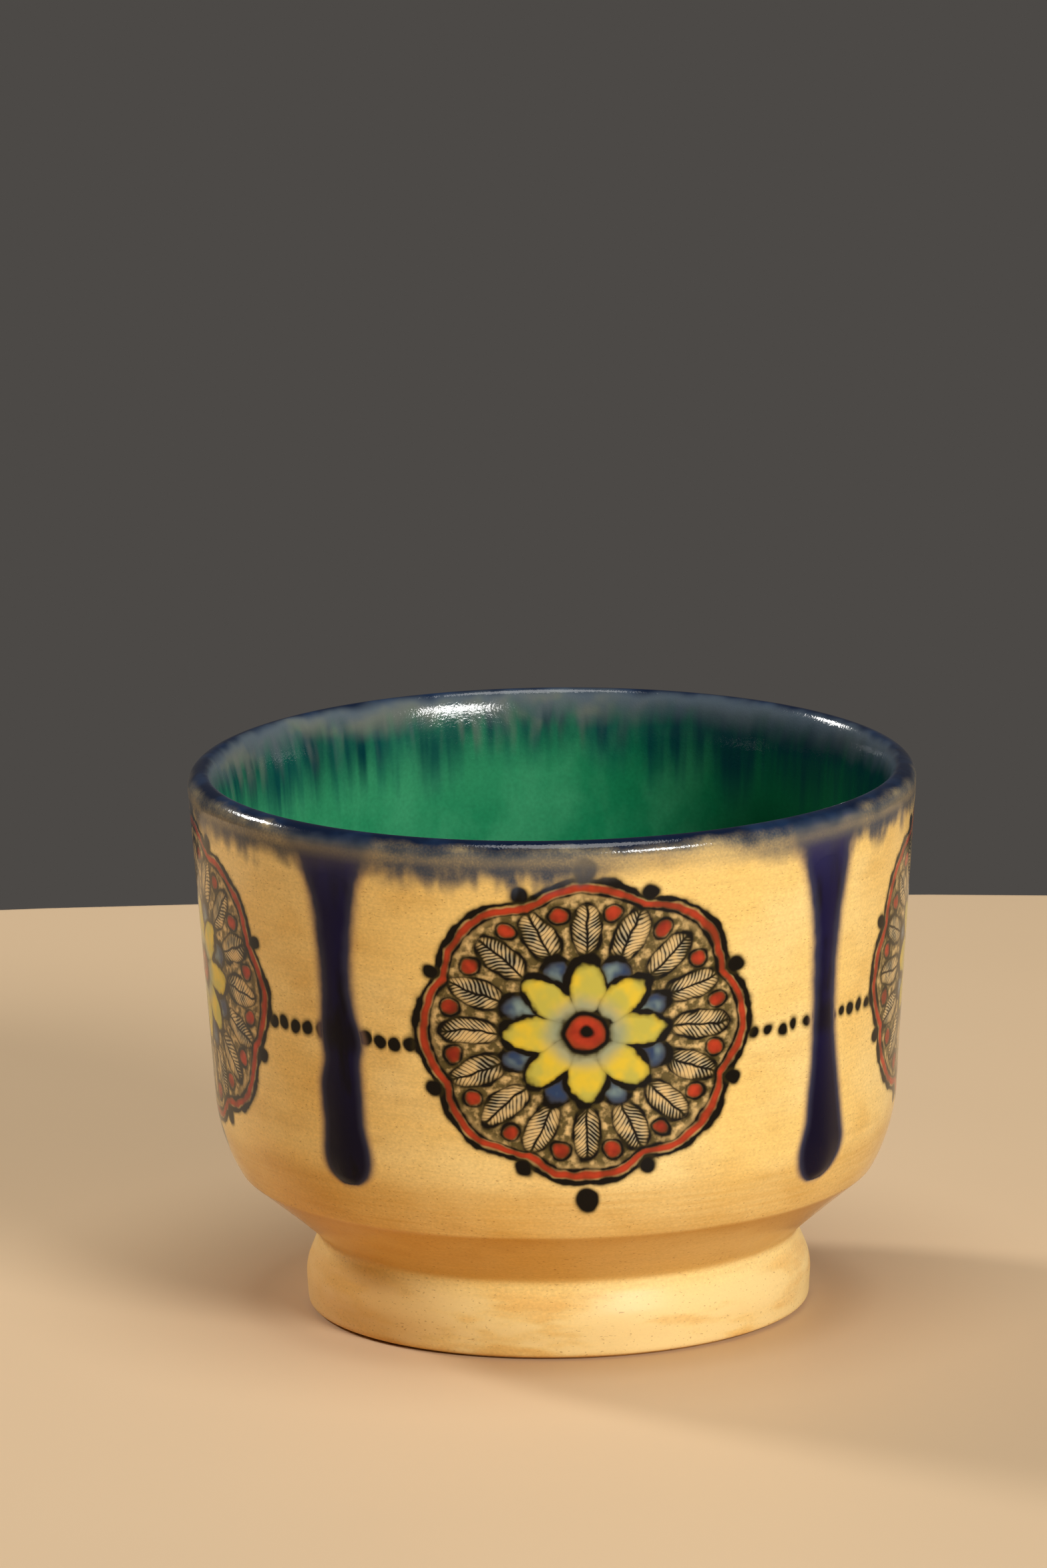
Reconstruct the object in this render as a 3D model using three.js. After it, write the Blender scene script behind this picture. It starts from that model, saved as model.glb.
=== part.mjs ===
// A handleless ceramic cup: a thrown bowl on a turned foot, with coats and runs of glaze.
// Millimetres, +Z up. The origin is the middle of the base, and the cup's front faces -Y.
import * as THREE from 'three';

// Bowl, measured on the finished glaze surface
const HEIGHT = 72.4;
const RIM_RADIUS = 48;
const WALL = 4.2;
const WALL_LEAN = THREE.MathUtils.degToRad(4.1);
const LIP_TAPER = 7;
const LIP_BEND = 2.2;
const LIP_CREST = 1.3;
const BELLY_TOP = 29.1;
const BELLY_ROUND = 23.8;
const RIDGE_HEIGHT = 18.7;
const COVE_HOLLOW = 0.1;
const FLOOR_HEIGHT = 14;
const FLOOR_ROUND = 20;

// Foot
const NECK_RADIUS = 31.7;
const NECK_HEIGHT = 10.3;
const FOOT_RADIUS = 33.3;
const FOOT_WIDEST_HEIGHT = 4;
const SHOULDER_SLOPE = 0.25;
const SHOULDER_ROUND = 3;
const FOOT_TUCK = 0.2;
const FOOT_WALL = 5.2;
const RECESS_LEAN = 0.8;
const FOOT_EDGE = 0.6;

// Glaze
const GLAZE = 0.4;
const RIM_BAND_OUTSIDE = 5.5;
const RIM_BAND_INSIDE = 9;
const BARE_FOOT = 1.2;
const RUN_PROUD = 0.8;
const RUN_SEAT_GAP = 0.3;

// Blue runs: drops are measured down from the rim, and widths round the wall
const RUN_TOP = 4;
const RUN_FLARE = 10.6;
const RUN_SHOULDER_DROP = 9;
const RUN_SHOULDER = 7;
const RUN_NECK_DROP = 20;
const RUN_NECK = 5;
const RUN_BULB = 8.8;
const RUN_LENGTH = 48;
const RUN_TIP = 3.6;
const RUN_TIP_END = 1;
const RUN_DRIFT = 1;
const TIP_NARROWING = [0.65, 0.25];

// Each run's place round the cup in degrees from the front, and its sizes as shares of those above
const RUNS = [
  {
    name: 'glaze_run_1', angle: -42.2, length: 0.99, drift: 0.1,
    flare: 1.04, neck: 1.04, middle: 1.42, bulb: 0.92,
  },
  {
    name: 'glaze_run_2', angle: 44, length: 1.04, drift: 1,
    flare: 0.95, neck: 0.94, middle: 1.12, bulb: 1.05,
  },
  {
    name: 'glaze_run_3', angle: 133.5, length: 0.91, drift: -0.2,
    flare: 0.98, neck: 1, middle: 1.3, bulb: 0.95,
  },
  {
    name: 'glaze_run_4', angle: -133.5, length: 1.01, drift: -0.3,
    flare: 1.02, neck: 1, middle: 1.14, bulb: 1,
  },
];

// Fineness of the facets
const TURN_STEPS = 48;
const CURVE_STEPS = 6;
const LIP_STEPS = 4;
const EDGE_STEPS = 2;
const RUN_STEPS = 22;
const RUN_COLUMNS = 6;

const CLAY = { color: 0xdba85e, roughness: 0.6, metalness: 0 };
const CLEAR_GLAZE = { color: 0xe2b063, roughness: 0.22, metalness: 0 };
const GREEN_GLAZE = { color: 0x1f8a5a, roughness: 0.15, metalness: 0 };
const RIM_GLAZE = { color: 0x26304f, roughness: 0.18, metalness: 0 };
const BLUE_GLAZE = { color: 0x231d4c, roughness: 0.15, metalness: 0 };

const point = (r, z) => new THREE.Vector2(r, z);

// Points of an arc about a centre, from one angle to another in radians
function arc(centre, radius, from, to, steps) {
  return Array.from({ length: steps + 1 }, (_, i) => {
    const angle = from + ((to - from) * i) / steps;
    return point(centre.x + radius * Math.cos(angle), centre.y + radius * Math.sin(angle));
  });
}

// The direction square to the leaning wall, outwards, and the wall's radius at a height
const outward = point(Math.cos(WALL_LEAN), -Math.sin(WALL_LEAN));
const lipCentre = point(RIM_RADIUS - WALL / 2, HEIGHT - WALL / 2);
const wallPoint = (side, height) => {
  const lip = lipCentre.clone().addScaledVector(outward, (side * WALL) / 2);
  return point(lip.x + (height - lip.y) * Math.tan(WALL_LEAN), height);
};

// The glazed surface in section, from the middle of the inside floor over the lip to the foot
function insideSurface() {
  const wall = wallPoint(-1, FLOOR_HEIGHT + FLOOR_ROUND);
  const centre = point(wall.x - FLOOR_ROUND / Math.cos(WALL_LEAN), wall.y);
  const floorCurve = arc(centre, FLOOR_ROUND, -Math.PI / 2, -WALL_LEAN, CURVE_STEPS);
  return [point(0, FLOOR_HEIGHT), ...floorCurve, wallPoint(-1, HEIGHT - RIM_BAND_INSIDE)];
}

// The lip thins towards its crest inside, and is a quarter round outside
function lipSurface() {
  const crest = point(lipCentre.x, HEIGHT);
  const taper = new THREE.CubicBezierCurve(
    wallPoint(-1, HEIGHT - LIP_TAPER),
    wallPoint(-1, HEIGHT - LIP_TAPER + LIP_BEND),
    point(crest.x - LIP_CREST, HEIGHT),
    crest,
  );
  const round = arc(lipCentre, WALL / 2, Math.PI / 2, -WALL_LEAN, LIP_STEPS);
  return [...taper.getPoints(CURVE_STEPS), ...round.slice(1), wallPoint(1, HEIGHT - RIM_BAND_OUTSIDE)];
}

function bellySurface() {
  const start = wallPoint(1, BELLY_TOP);
  const centre = start.clone().addScaledVector(outward, -BELLY_ROUND);
  const ridgeAngle = -Math.asin((centre.y - RIDGE_HEIGHT) / BELLY_ROUND);
  const belly = arc(centre, BELLY_ROUND, -WALL_LEAN, ridgeAngle, CURVE_STEPS);
  const ridge = belly[belly.length - 1];
  const neck = point(NECK_RADIUS, NECK_HEIGHT);
  const slope = neck.clone().sub(ridge).normalize();
  const hollow = ridge.clone().add(neck).multiplyScalar(0.5);
  hollow.addScaledVector(point(slope.y, -slope.x), 2 * COVE_HOLLOW);
  const cove = new THREE.QuadraticBezierCurve(ridge, hollow, neck);
  return [...belly, ...cove.getPoints(CURVE_STEPS).slice(1)];
}

function footSurface() {
  const shoulder = new THREE.CubicBezierCurve(
    point(NECK_RADIUS, NECK_HEIGHT),
    point(NECK_RADIUS + SHOULDER_SLOPE, NECK_HEIGHT - SHOULDER_ROUND),
    point(FOOT_RADIUS, FOOT_WIDEST_HEIGHT + SHOULDER_ROUND),
    point(FOOT_RADIUS, FOOT_WIDEST_HEIGHT),
  );
  return [...shoulder.getPoints(CURVE_STEPS).slice(1), point(FOOT_RADIUS - FOOT_TUCK, BARE_FOOT)];
}

// The clay under the glaze: the surface moved to its right by the coat, with mitred corners
function under(surface, coat) {
  const square = surface.slice(1).map((p, i) => {
    const along = p.clone().sub(surface[i]).normalize();
    return point(along.y, -along.x);
  });
  return surface.map((p, i) => {
    const before = square[Math.max(i - 1, 0)];
    const after = square[Math.min(i, square.length - 1)];
    const mitre = before.clone().add(after);
    return p.clone().addScaledVector(mitre, (2 * coat) / mitre.lengthSq());
  });
}

const inside = insideSurface();
const lip = lipSurface();
const belly = bellySurface();
const foot = footSurface();
const glazed = [...inside, ...lip, ...belly, ...foot];
const clay = under(glazed, GLAZE);
clay[0].x = 0;

// Where each coat, and the bowl itself, ends along the glazed surface
const liningEnd = inside.length - 1;
const rimEnd = liningEnd + lip.length;
const neckAt = rimEnd + belly.length;
const footEnd = glazed.length - 1;
const joint = clay[neckAt];

// A turned solid from a section that runs up its outside and closes on itself or on the axis
function turned(section) {
  const onAxis = section[0].x === 0;
  const loop = onAxis ? section : [...section, section[0]];
  const geometry = new THREE.LatheGeometry(loop, TURN_STEPS);
  geometry.rotateX(Math.PI / 2);
  return geometry;
}

// A coat of glaze between two places along the surface
function coat(from, to) {
  const face = glazed.slice(from, to + 1);
  const back = clay.slice(from, to + 1);
  return turned([...back, ...face.reverse()]);
}

function bowl() {
  return turned([point(0, joint.y), ...clay.slice(0, neckAt + 1).reverse()]);
}

function footRing() {
  const outer = clay[footEnd];
  const innerRadius = FOOT_RADIUS - FOOT_WALL;
  const edge = (radius, from, to) => arc(point(radius, FOOT_EDGE), FOOT_EDGE, from, to, EDGE_STEPS);
  const innerEdge = edge(innerRadius + FOOT_EDGE, -Math.PI, -Math.PI / 2);
  const outerEdge = edge(outer.x - FOOT_EDGE, -Math.PI / 2, 0);
  return turned([
    point(innerRadius - RECESS_LEAN, joint.y),
    ...innerEdge,
    ...outerEdge,
    ...clay.slice(neckAt, footEnd + 1).reverse(),
  ]);
}

// The outside radius of the glazed wall at a height
const outside = glazed.slice(rimEnd - 1);
function outsideRadius(height) {
  const i = Math.max(outside.findIndex((p) => p.y <= height), 1);
  const [upper, lower] = [outside[i - 1], outside[i]];
  return lower.x + ((upper.x - lower.x) * (height - lower.y)) / (upper.y - lower.y);
}

// A run's outline as (drop, width, sideways shift), from the rim band to its rounded tip
function runStations({ flare, neck, middle, bulb, length, drift }) {
  const end = RUN_LENGTH * length;
  const shift = RUN_DRIFT * drift;
  const [tip, tipEnd] = TIP_NARROWING.map((share) => RUN_BULB * bulb * share);
  return [
    new THREE.Vector3(RUN_TOP, RUN_FLARE * flare, 0),
    new THREE.Vector3(RUN_SHOULDER_DROP, RUN_SHOULDER, 0),
    new THREE.Vector3(RUN_NECK_DROP, RUN_NECK * neck, 0),
    new THREE.Vector3((RUN_NECK_DROP + end) / 2, RUN_NECK * middle, shift / 2),
    new THREE.Vector3(end - RUN_TIP, RUN_BULB * bulb, shift),
    new THREE.Vector3(end - RUN_TIP_END, tip, shift),
    new THREE.Vector3(end, tipEnd, shift),
  ];
}

// A run of glaze: domed sections lofted down the wall, thin at the sides. One lap of a
// section goes over the dome from side to side, then back along its seat on the wall.
function glazeRun(run) {
  const spine = new THREE.CatmullRomCurve3(runStations(run));
  const stations = spine.getPoints(RUN_STEPS);
  const turn = THREE.MathUtils.degToRad(run.angle);
  const positions = [];
  const place = ({ x: drop, y: width, z: shift }, across, lift) => {
    const height = HEIGHT - drop;
    const wall = outsideRadius(height);
    const round = turn + (shift + (across * width) / 2) / wall;
    const radius = wall + RUN_SEAT_GAP + lift;
    positions.push(radius * Math.sin(round), -radius * Math.cos(round), height);
  };
  const ring = 2 * RUN_COLUMNS;
  for (const station of stations) {
    for (let i = 0; i < ring; i += 1) {
      const across = 2 * Math.abs(i / RUN_COLUMNS - 1) - 1;
      const dome = RUN_PROUD * Math.sqrt(1 - across * across);
      place(station, across, i <= RUN_COLUMNS ? dome : 0);
    }
  }
  const faces = [];
  for (let row = 0; row < RUN_STEPS; row += 1) {
    for (let i = 0; i < ring; i += 1) {
      const a = row * ring + i;
      const b = row * ring + ((i + 1) % ring);
      faces.push(a, b, b + ring, a, b + ring, a + ring);
    }
  }
  const last = RUN_STEPS * ring;
  for (let i = 1; i < ring - 1; i += 1) {
    faces.push(0, i + 1, i, last, last + i, last + i + 1);
  }
  const geometry = new THREE.BufferGeometry();
  geometry.setAttribute('position', new THREE.Float32BufferAttribute(positions, 3));
  geometry.setIndex(faces);
  geometry.computeVertexNormals();
  return geometry;
}

const cup = new THREE.Group();
function add(name, geometry, finish) {
  const mesh = new THREE.Mesh(geometry, new THREE.MeshStandardMaterial(finish));
  mesh.name = name;
  cup.add(mesh);
}

add('clay_body', bowl(), CLAY);
add('foot_ring', footRing(), CLAY);
add('lining_glaze', coat(0, liningEnd), GREEN_GLAZE);
add('rim_glaze', coat(liningEnd, rimEnd), RIM_GLAZE);
add('outer_glaze', coat(rimEnd, footEnd), CLEAR_GLAZE);
for (const run of RUNS) add(run.name, glazeRun(run), BLUE_GLAZE);

export default cup;
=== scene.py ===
"""Looks of a handleless ceramic cup: honey clear glaze, green lining, cobalt rim and blue runs.

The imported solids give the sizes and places. Each surface is the cup's section turned about its
axis as a grid, and each finish is a glaze mixed from shader nodes that are written as expressions.
Lengths are in metres in the shapes and in millimetres in the finishes.
"""

import logging
import math
from dataclasses import dataclass
from enum import Enum

import bmesh
import bpy
import numpy as np
from mathutils import Matrix, Vector


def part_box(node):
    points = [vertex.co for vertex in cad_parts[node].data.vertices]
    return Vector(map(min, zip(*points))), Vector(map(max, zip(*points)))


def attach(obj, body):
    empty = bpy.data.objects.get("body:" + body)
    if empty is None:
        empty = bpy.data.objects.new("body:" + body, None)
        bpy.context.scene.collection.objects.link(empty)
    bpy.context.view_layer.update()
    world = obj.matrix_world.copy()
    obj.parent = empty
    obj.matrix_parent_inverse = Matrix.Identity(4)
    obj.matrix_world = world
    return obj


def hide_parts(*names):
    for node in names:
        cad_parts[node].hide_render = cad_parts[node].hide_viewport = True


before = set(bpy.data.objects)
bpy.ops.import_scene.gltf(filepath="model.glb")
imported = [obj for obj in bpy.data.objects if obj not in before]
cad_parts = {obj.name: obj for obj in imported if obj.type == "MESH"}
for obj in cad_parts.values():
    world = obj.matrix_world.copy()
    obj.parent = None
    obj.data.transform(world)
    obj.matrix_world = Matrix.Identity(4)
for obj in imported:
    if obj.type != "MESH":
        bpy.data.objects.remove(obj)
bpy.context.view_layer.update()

log = logging.getLogger("cup")

MM = 0.001
TAU = 2 * math.pi
QUARTER_TURN = math.pi / 2
BODY = "root"
SHARP_EDGE = math.radians(35)
POLE_GAP = 1e-6
SAME_FALL = 1e-7

Array = np.ndarray
Piece = bpy.types.Object
Colour = tuple[float, float, float]
Span = tuple[float, float]
Ramp = tuple[float, float, float]
Knots = tuple[tuple[float, ...], ...]


def srgb(red: int, green: int, blue: int) -> Colour:
    """A colour as it is seen on a screen, 0 to 255, turned into linear light.

    Args:
        red: red, 0 to 255.
        green: green, 0 to 255.
        blue: blue, 0 to 255.

    Returns:
        The three linear values, 0 to 1.
    """
    shares = np.array([red, green, blue]) / 255
    linear = np.where(shares <= 0.04045, shares / 12.92, ((shares + 0.055) / 1.055) ** 2.4)
    return tuple(float(value) for value in linear)


def smoothstep(value: Array, low: float, high: float) -> Array:
    """0 below low, 1 above high, and the cubic 3t² - 2t³ between them."""
    share = np.clip((value - low) / (high - low), 0, 1)
    return share * share * (3 - 2 * share)


def along(at: Array, way: Array, points: Array) -> Array:
    """Rows of a line at given ways along it, by straight steps between its own rows."""
    return np.stack([np.interp(at, way, column) for column in points.T], -1)


def through(knots: Knots, at: Array) -> Array:
    """A smooth curve through a few knots: cubic Hermite spans with slopes from the neighbours.

    Args:
        knots: rows of (place, value, value, ...), in rising order of place.
        at: the places asked for; beyond the ends the end values are kept.

    Returns:
        One row of values for each place.
    """
    table = np.array(knots, float)
    place, values = table[:, 0], table[:, 1:]
    slope = np.gradient(values, place, axis=0)
    at = np.clip(at, place[0], place[-1])
    left = np.clip(np.searchsorted(place, at, side="right") - 1, 0, len(place) - 2)
    span = place[left + 1] - place[left]
    t = ((at - place[left]) / span)[:, None]
    span = span[:, None]
    start = (1 + 2 * t) * (1 - t) ** 2 * values[left] + t * (1 - t) ** 2 * span * slope[left]
    end = t * t * (3 - 2 * t) * values[left + 1] - t * t * (1 - t) * span * slope[left + 1]
    return start + end


def round_axis(angle: Array, radius: Array, height: Array) -> Array:
    """Points (r sin a, -r cos a, z), so that angle 0 is the front."""
    return np.stack([radius * np.sin(angle), -radius * np.cos(angle), height], -1)


class Side(Enum):
    """Which face of the wall a stretch of the section lies on."""

    INSIDE = -1
    OUTSIDE = 1


@dataclass(frozen=True)
class CupSection:
    """The glazed surface in section, from the inside floor over the lip to the foot."""

    height: float
    rim_radius: float
    wall: float = 4.2 * MM
    lean: float = math.radians(4.1)
    lip_taper: float = 7 * MM
    lip_bend: float = 2.2 * MM
    lip_crest: float = 1.3 * MM
    belly_top: float = 29.1 * MM
    belly_round: float = 23.8 * MM
    ridge_height: float = 18.7 * MM
    cove_hollow: float = 0.1 * MM
    floor_height: float = 14 * MM
    floor_round: float = 20 * MM
    neck_radius: float = 31.7 * MM
    neck_height: float = 10.3 * MM
    foot_radius: float = 33.3 * MM
    foot_widest_height: float = 4 * MM
    shoulder_slope: float = 0.25 * MM
    shoulder_round: float = 3 * MM
    foot_tuck: float = 0.2 * MM
    bare_foot: float = 0.3 * MM
    foot_edge: float = 0.6 * MM
    crisp: float = 0.28 * MM
    soft_neck: float = 0.7 * MM
    neck_reach: float = 2.2 * MM
    step: float = 0.2 * MM

    def wall_point(self, side: Side, height: float) -> Array:
        """A point of the wall, which is a line that leans outwards from the lip's round.

        Args:
            side: the wall's inside or outside.
            height: height above the base.

        Returns:
            The point, as (radius, height).
        """
        lip_radius = self.wall / 2
        out = side.value * lip_radius
        radius = self.rim_radius - lip_radius + out * math.cos(self.lean)
        start = self.height - lip_radius - out * math.sin(self.lean)
        return np.array([radius + (height - start) * math.tan(self.lean), height])

    @staticmethod
    def arc(centre: Array, radius: float, start: float, stop: float, count: int = 60) -> Array:
        """Points of a circular arc from one angle to another, in radians."""
        angle = np.linspace(start, stop, count)
        return centre + radius * np.stack([np.cos(angle), np.sin(angle)], -1)

    @staticmethod
    def bezier(*corners: Array, count: int = 60) -> Array:
        """A Bézier curve: its corners weighted by Bernstein's polynomials.

        Args:
            corners: the curve's ends and the points between them that pull it.
            count: how many points to return.

        Returns:
            The curve's points.
        """
        t = np.linspace(0, 1, count)[:, None]
        degree = len(corners) - 1
        weights = [math.comb(degree, i) * t**i * (1 - t) ** (degree - i) for i in range(degree + 1)]
        return sum(weight * np.asarray(corner) for weight, corner in zip(weights, corners))

    def neck(self) -> Array:
        """The narrowest point between the bowl and the foot."""
        return np.array([self.neck_radius, self.neck_height])

    def inner_lip(self) -> Array:
        """The lip's taper inside: a cubic Bézier curve from the wall up to the crest.

        Returns:
            The curve's points.
        """
        crest = np.array([self.rim_radius - self.wall / 2, self.height])
        return self.bezier(
            self.wall_point(Side.INSIDE, self.height - self.lip_taper),
            self.wall_point(Side.INSIDE, self.height - self.lip_taper + self.lip_bend),
            crest - [self.lip_crest, 0],
            crest,
        )

    def foot(self) -> Array:
        """The foot from the neck over its roll to its base: two Bézier curves.

        Returns:
            The points after the neck.
        """
        widest = np.array([self.foot_radius, self.foot_widest_height])
        roll = self.bezier(
            self.neck(),
            self.neck() + [self.shoulder_slope, -self.shoulder_round],
            widest + [0, self.shoulder_round],
            widest,
        )
        base = np.array([self.foot_radius - self.foot_tuck, self.bare_foot])
        edge = self.bezier(base + [0, self.foot_edge], base, base - [self.foot_edge, 0], count=12)
        return np.concatenate([roll[1:], edge])

    def corners(self) -> Array:
        """The whole section with sharp corners, as lines, arcs and Bézier curves.

        Returns:
            The points, as (radius, height).
        """
        half = self.wall / 2
        inner = self.wall_point(Side.INSIDE, self.floor_height + self.floor_round)
        floor_centre = inner - [self.floor_round / math.cos(self.lean), 0]
        lip_centre = np.array([self.rim_radius - half, self.height - half])
        out = np.array([math.cos(self.lean), -math.sin(self.lean)])
        belly_centre = self.wall_point(Side.OUTSIDE, self.belly_top) - self.belly_round * out
        ridge_angle = -math.asin((belly_centre[1] - self.ridge_height) / self.belly_round)
        belly = self.arc(belly_centre, self.belly_round, -self.lean, ridge_angle)
        ridge, neck = belly[-1], self.neck()
        slant = (neck - ridge) / np.linalg.norm(neck - ridge)
        hollow = (ridge + neck) / 2 + 2 * self.cove_hollow * np.array([slant[1], -slant[0]])
        return np.concatenate([
            np.array([[0, self.floor_height]]),
            self.arc(floor_centre, self.floor_round, -math.pi / 2, -self.lean),
            self.inner_lip(),
            self.arc(lip_centre, half, math.pi / 2, -self.lean)[1:],
            belly,
            self.bezier(ridge, hollow, neck)[1:],
            self.foot(),
        ])

    def surface(self) -> tuple[Array, Array]:
        """The section at even steps, with its corners eased as glaze eases them.

        Each point is the mean of its neighbours, weighted by a bell curve along the section. The
        bell is narrow at the crisp ridge and wide at the neck, where glaze gathers.

        Returns:
            The points, and each point's fall: its way along the section from the lip's top, in
            metres, negative inside the cup.
        """
        raw = self.corners()
        way = np.concatenate([[0], np.cumsum(np.linalg.norm(np.diff(raw, axis=0), axis=1))])
        even = np.linspace(0, way[-1], int(way[-1] / self.step) + 1)
        points = along(even, way, raw)
        neck = way[np.argmin(np.linalg.norm(raw - self.neck(), axis=1))]
        near_neck = np.exp(-(((even - neck) / self.neck_reach) ** 2))
        spread = self.crisp + (self.soft_neck - self.crisp) * near_neck
        bell = np.exp(-0.5 * ((even[:, None] - even) / spread[:, None]) ** 2)
        eased = bell @ points / bell.sum(1, keepdims=True)
        eased[[0, -1]] = points[[0, -1]]
        return eased, even - even[np.argmax(eased[:, 1])]


@dataclass(frozen=True)
class ThrowersHand:
    """What a hand leaves in a thrown pot: a wall that is a little out of round, and rings."""

    oval: float = 0.16 * MM
    oval_turn: float = 0.7
    three_sided: float = 0.07 * MM
    three_turn: float = -0.4
    lip_wave: float = 0.12 * MM
    lip_turn: float = 1.1
    lip_reach: float = 14 * MM
    ring: float = 0.006 * MM
    ring_pitch: float = 3.4 * MM
    ring_drift: float = 0.8
    true_below: float = 12 * MM
    loose_above: float = 40 * MM
    loose_radius: float = 30 * MM
    top: float = 72.4 * MM

    def leave(self, angle: Array, radius: Array, height: Array) -> tuple[Array, Array]:
        """Moves points of the true turned form: waves of two and three round the wall, fine rings
        up it that drift with the angle, and a wave of the lip's height.

        Args:
            angle: angle round the cup from the front, in radians.
            radius: true radius.
            height: true height.

        Returns:
            The new radius and height.
        """
        free = smoothstep(height, self.true_below, self.loose_above)
        waves = self.oval * np.cos(2 * angle + self.oval_turn)
        waves = waves + self.three_sided * np.cos(3 * angle + self.three_turn)
        rings = self.ring * np.sin(TAU * height / self.ring_pitch + self.ring_drift * np.sin(angle))
        lip = smoothstep(height, self.top - self.lip_reach, self.top)
        tilt = self.lip_wave * lip * np.sin(2 * angle + self.lip_turn)
        share = np.minimum(radius / self.loose_radius, 1)
        return radius + share * (free * waves + rings), height + tilt


@dataclass(frozen=True)
class Turning:
    """Turns a section into a closed grid mesh round the cup's axis."""

    hand: ThrowersHand
    columns: int

    @staticmethod
    def rows(points: Array, fall: Array, count: int, crowd: float) -> tuple[Array, Array]:
        """Picks rows along a stretch of the section, closer together where it bends.

        Args:
            points: the stretch, as (radius, height).
            fall: each point's way along the section.
            count: how many rows to pick.
            crowd: how strongly the rows gather at bends, in metres.

        Returns:
            The picked points and their falls.
        """
        tangent = np.gradient(points, fall, axis=0)
        bend = np.linalg.norm(np.gradient(tangent, fall, axis=0), axis=1)
        density = 1 + crowd * bend
        amount = np.concatenate([[0], np.cumsum((density[1:] + density[:-1]) / 2 * np.diff(fall))])
        at = np.interp(np.linspace(0, amount[-1], count), amount, fall)
        return along(at, fall, points), at

    @staticmethod
    def beneath(points: Array, depth: float) -> Array:
        """The same stretch moved into the clay, square to itself.

        Args:
            points: the stretch, as (radius, height).
            depth: how far it moves.

        Returns:
            The moved points, none of them past the axis.
        """
        tangent = np.gradient(points, axis=0)
        tangent /= np.linalg.norm(tangent, axis=1, keepdims=True)
        moved = points + depth * np.stack([tangent[:, 1], -tangent[:, 0]], -1)
        moved[:, 0] = np.where(points[:, 0] == 0, 0, np.maximum(moved[:, 0], 0))
        return moved

    def mesh(self, name: str, loop: Array, fall: Array | None = None) -> Piece:
        """A piece whose section is a closed loop of points, turned once round the axis.

        The map named wrap holds quarter turns round the cup and the height.

        Args:
            name: the piece's name.
            loop: the closed section, counter-clockwise, without its first point repeated.
            fall: each point's way along the section from the lip's top, 0 where none is given.

        Returns:
            The new object.
        """
        count = len(loop)
        angle = np.linspace(-math.pi, math.pi, self.columns, endpoint=False)[:, None]
        radius, height = self.hand.leave(angle, loop[None, :, 0], loop[None, :, 1])
        column = np.arange(self.columns)[:, None]
        row = np.arange(count)[None, :]
        beside = (column + 1) % self.columns
        above = (row + 1) % count
        faces = np.stack(np.broadcast_arrays(
            column * count + row, beside * count + row, beside * count + above, column * count + above,
        ), -1).reshape(-1, 4)
        quarter = 4 / self.columns
        left = np.broadcast_to(column * quarter - 2, (self.columns, count))
        low = np.broadcast_to(loop[None, :, 1], (self.columns, count))
        high = np.broadcast_to(loop[None, above[0], 1], (self.columns, count))
        across = np.stack([left, left + quarter, left + quarter, left], -1)
        wrap = np.stack([across, np.stack([low, low, high, high], -1)], -1)
        verts = round_axis(angle, radius, height).reshape(-1, 3)
        piece = new_piece(name, verts, faces, wrap.reshape(-1, 2))
        kept = np.zeros(count) if fall is None else fall / MM
        keep_value(piece, "fall", np.tile(kept, self.columns))
        return piece


def new_piece(name: str, verts: Array, faces: Array, uv: Array) -> Piece:
    """A mesh object at the origin from whole arrays of vertices, quads and map corners.

    Args:
        name: the piece's name.
        verts: one row of coordinates for each vertex.
        faces: one row of four vertex numbers for each face.
        uv: one row for each face corner, in order.

    Returns:
        The new object, smooth but for its sharp edges.
    """
    mesh = bpy.data.meshes.new(name)
    mesh.vertices.add(len(verts))
    mesh.vertices.foreach_set("co", verts.astype(np.float32).ravel())
    mesh.loops.add(faces.size)
    mesh.loops.foreach_set("vertex_index", faces.astype(np.int32).ravel())
    mesh.polygons.add(len(faces))
    mesh.polygons.foreach_set("loop_start", np.arange(0, faces.size, 4, dtype=np.int32))
    mesh.update(calc_edges=True)
    mesh.uv_layers.new(name="wrap").data.foreach_set("uv", uv.astype(np.float32).ravel())
    mesh.polygons.foreach_set("use_smooth", np.ones(len(faces), bool))
    mesh.set_sharp_from_angle(angle=SHARP_EDGE)
    piece = bpy.data.objects.new(name, mesh)
    bpy.context.scene.collection.objects.link(piece)
    return piece


def keep_value(piece: Piece, name: str, values: Array) -> None:
    """Keeps one number for each vertex of a piece under a name that its finish can read."""
    attribute = piece.data.attributes.new(name, "FLOAT", "POINT")
    attribute.data.foreach_set("value", values.astype(np.float32).ravel())


def vertices(piece: Piece) -> Array:
    """The piece's vertices.

    Args:
        piece: the piece.

    Returns:
        One row of coordinates for each vertex.
    """
    flat = np.zeros(len(piece.data.vertices) * 3, np.float32)
    piece.data.vertices.foreach_get("co", flat)
    return flat.reshape(-1, 3).astype(float)


def from_front(points: Array) -> Array:
    """Angles of points round the axis, where the front is 0."""
    return np.arctan2(points[:, 0], -points[:, 1])


def merge_poles(piece: Piece) -> None:
    """Merges the vertices that meet on the axis, so that no face there is without area.

    Args:
        piece: the piece, which is changed.
    """
    work = bmesh.new()
    work.from_mesh(piece.data)
    bmesh.ops.remove_doubles(work, verts=work.verts, dist=POLE_GAP)
    work.to_mesh(piece.data)
    work.free()


def settle(piece: Piece, finish: bpy.types.Material, node: str) -> Piece:
    """Dresses a piece, and ties it to the cup's body.

    Args:
        piece: the piece.
        finish: its material.
        node: the solid that it stands for.

    Returns:
        The same piece.
    """
    piece.data.materials.append(finish)
    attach(piece, BODY)
    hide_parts(node)
    return piece


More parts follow.
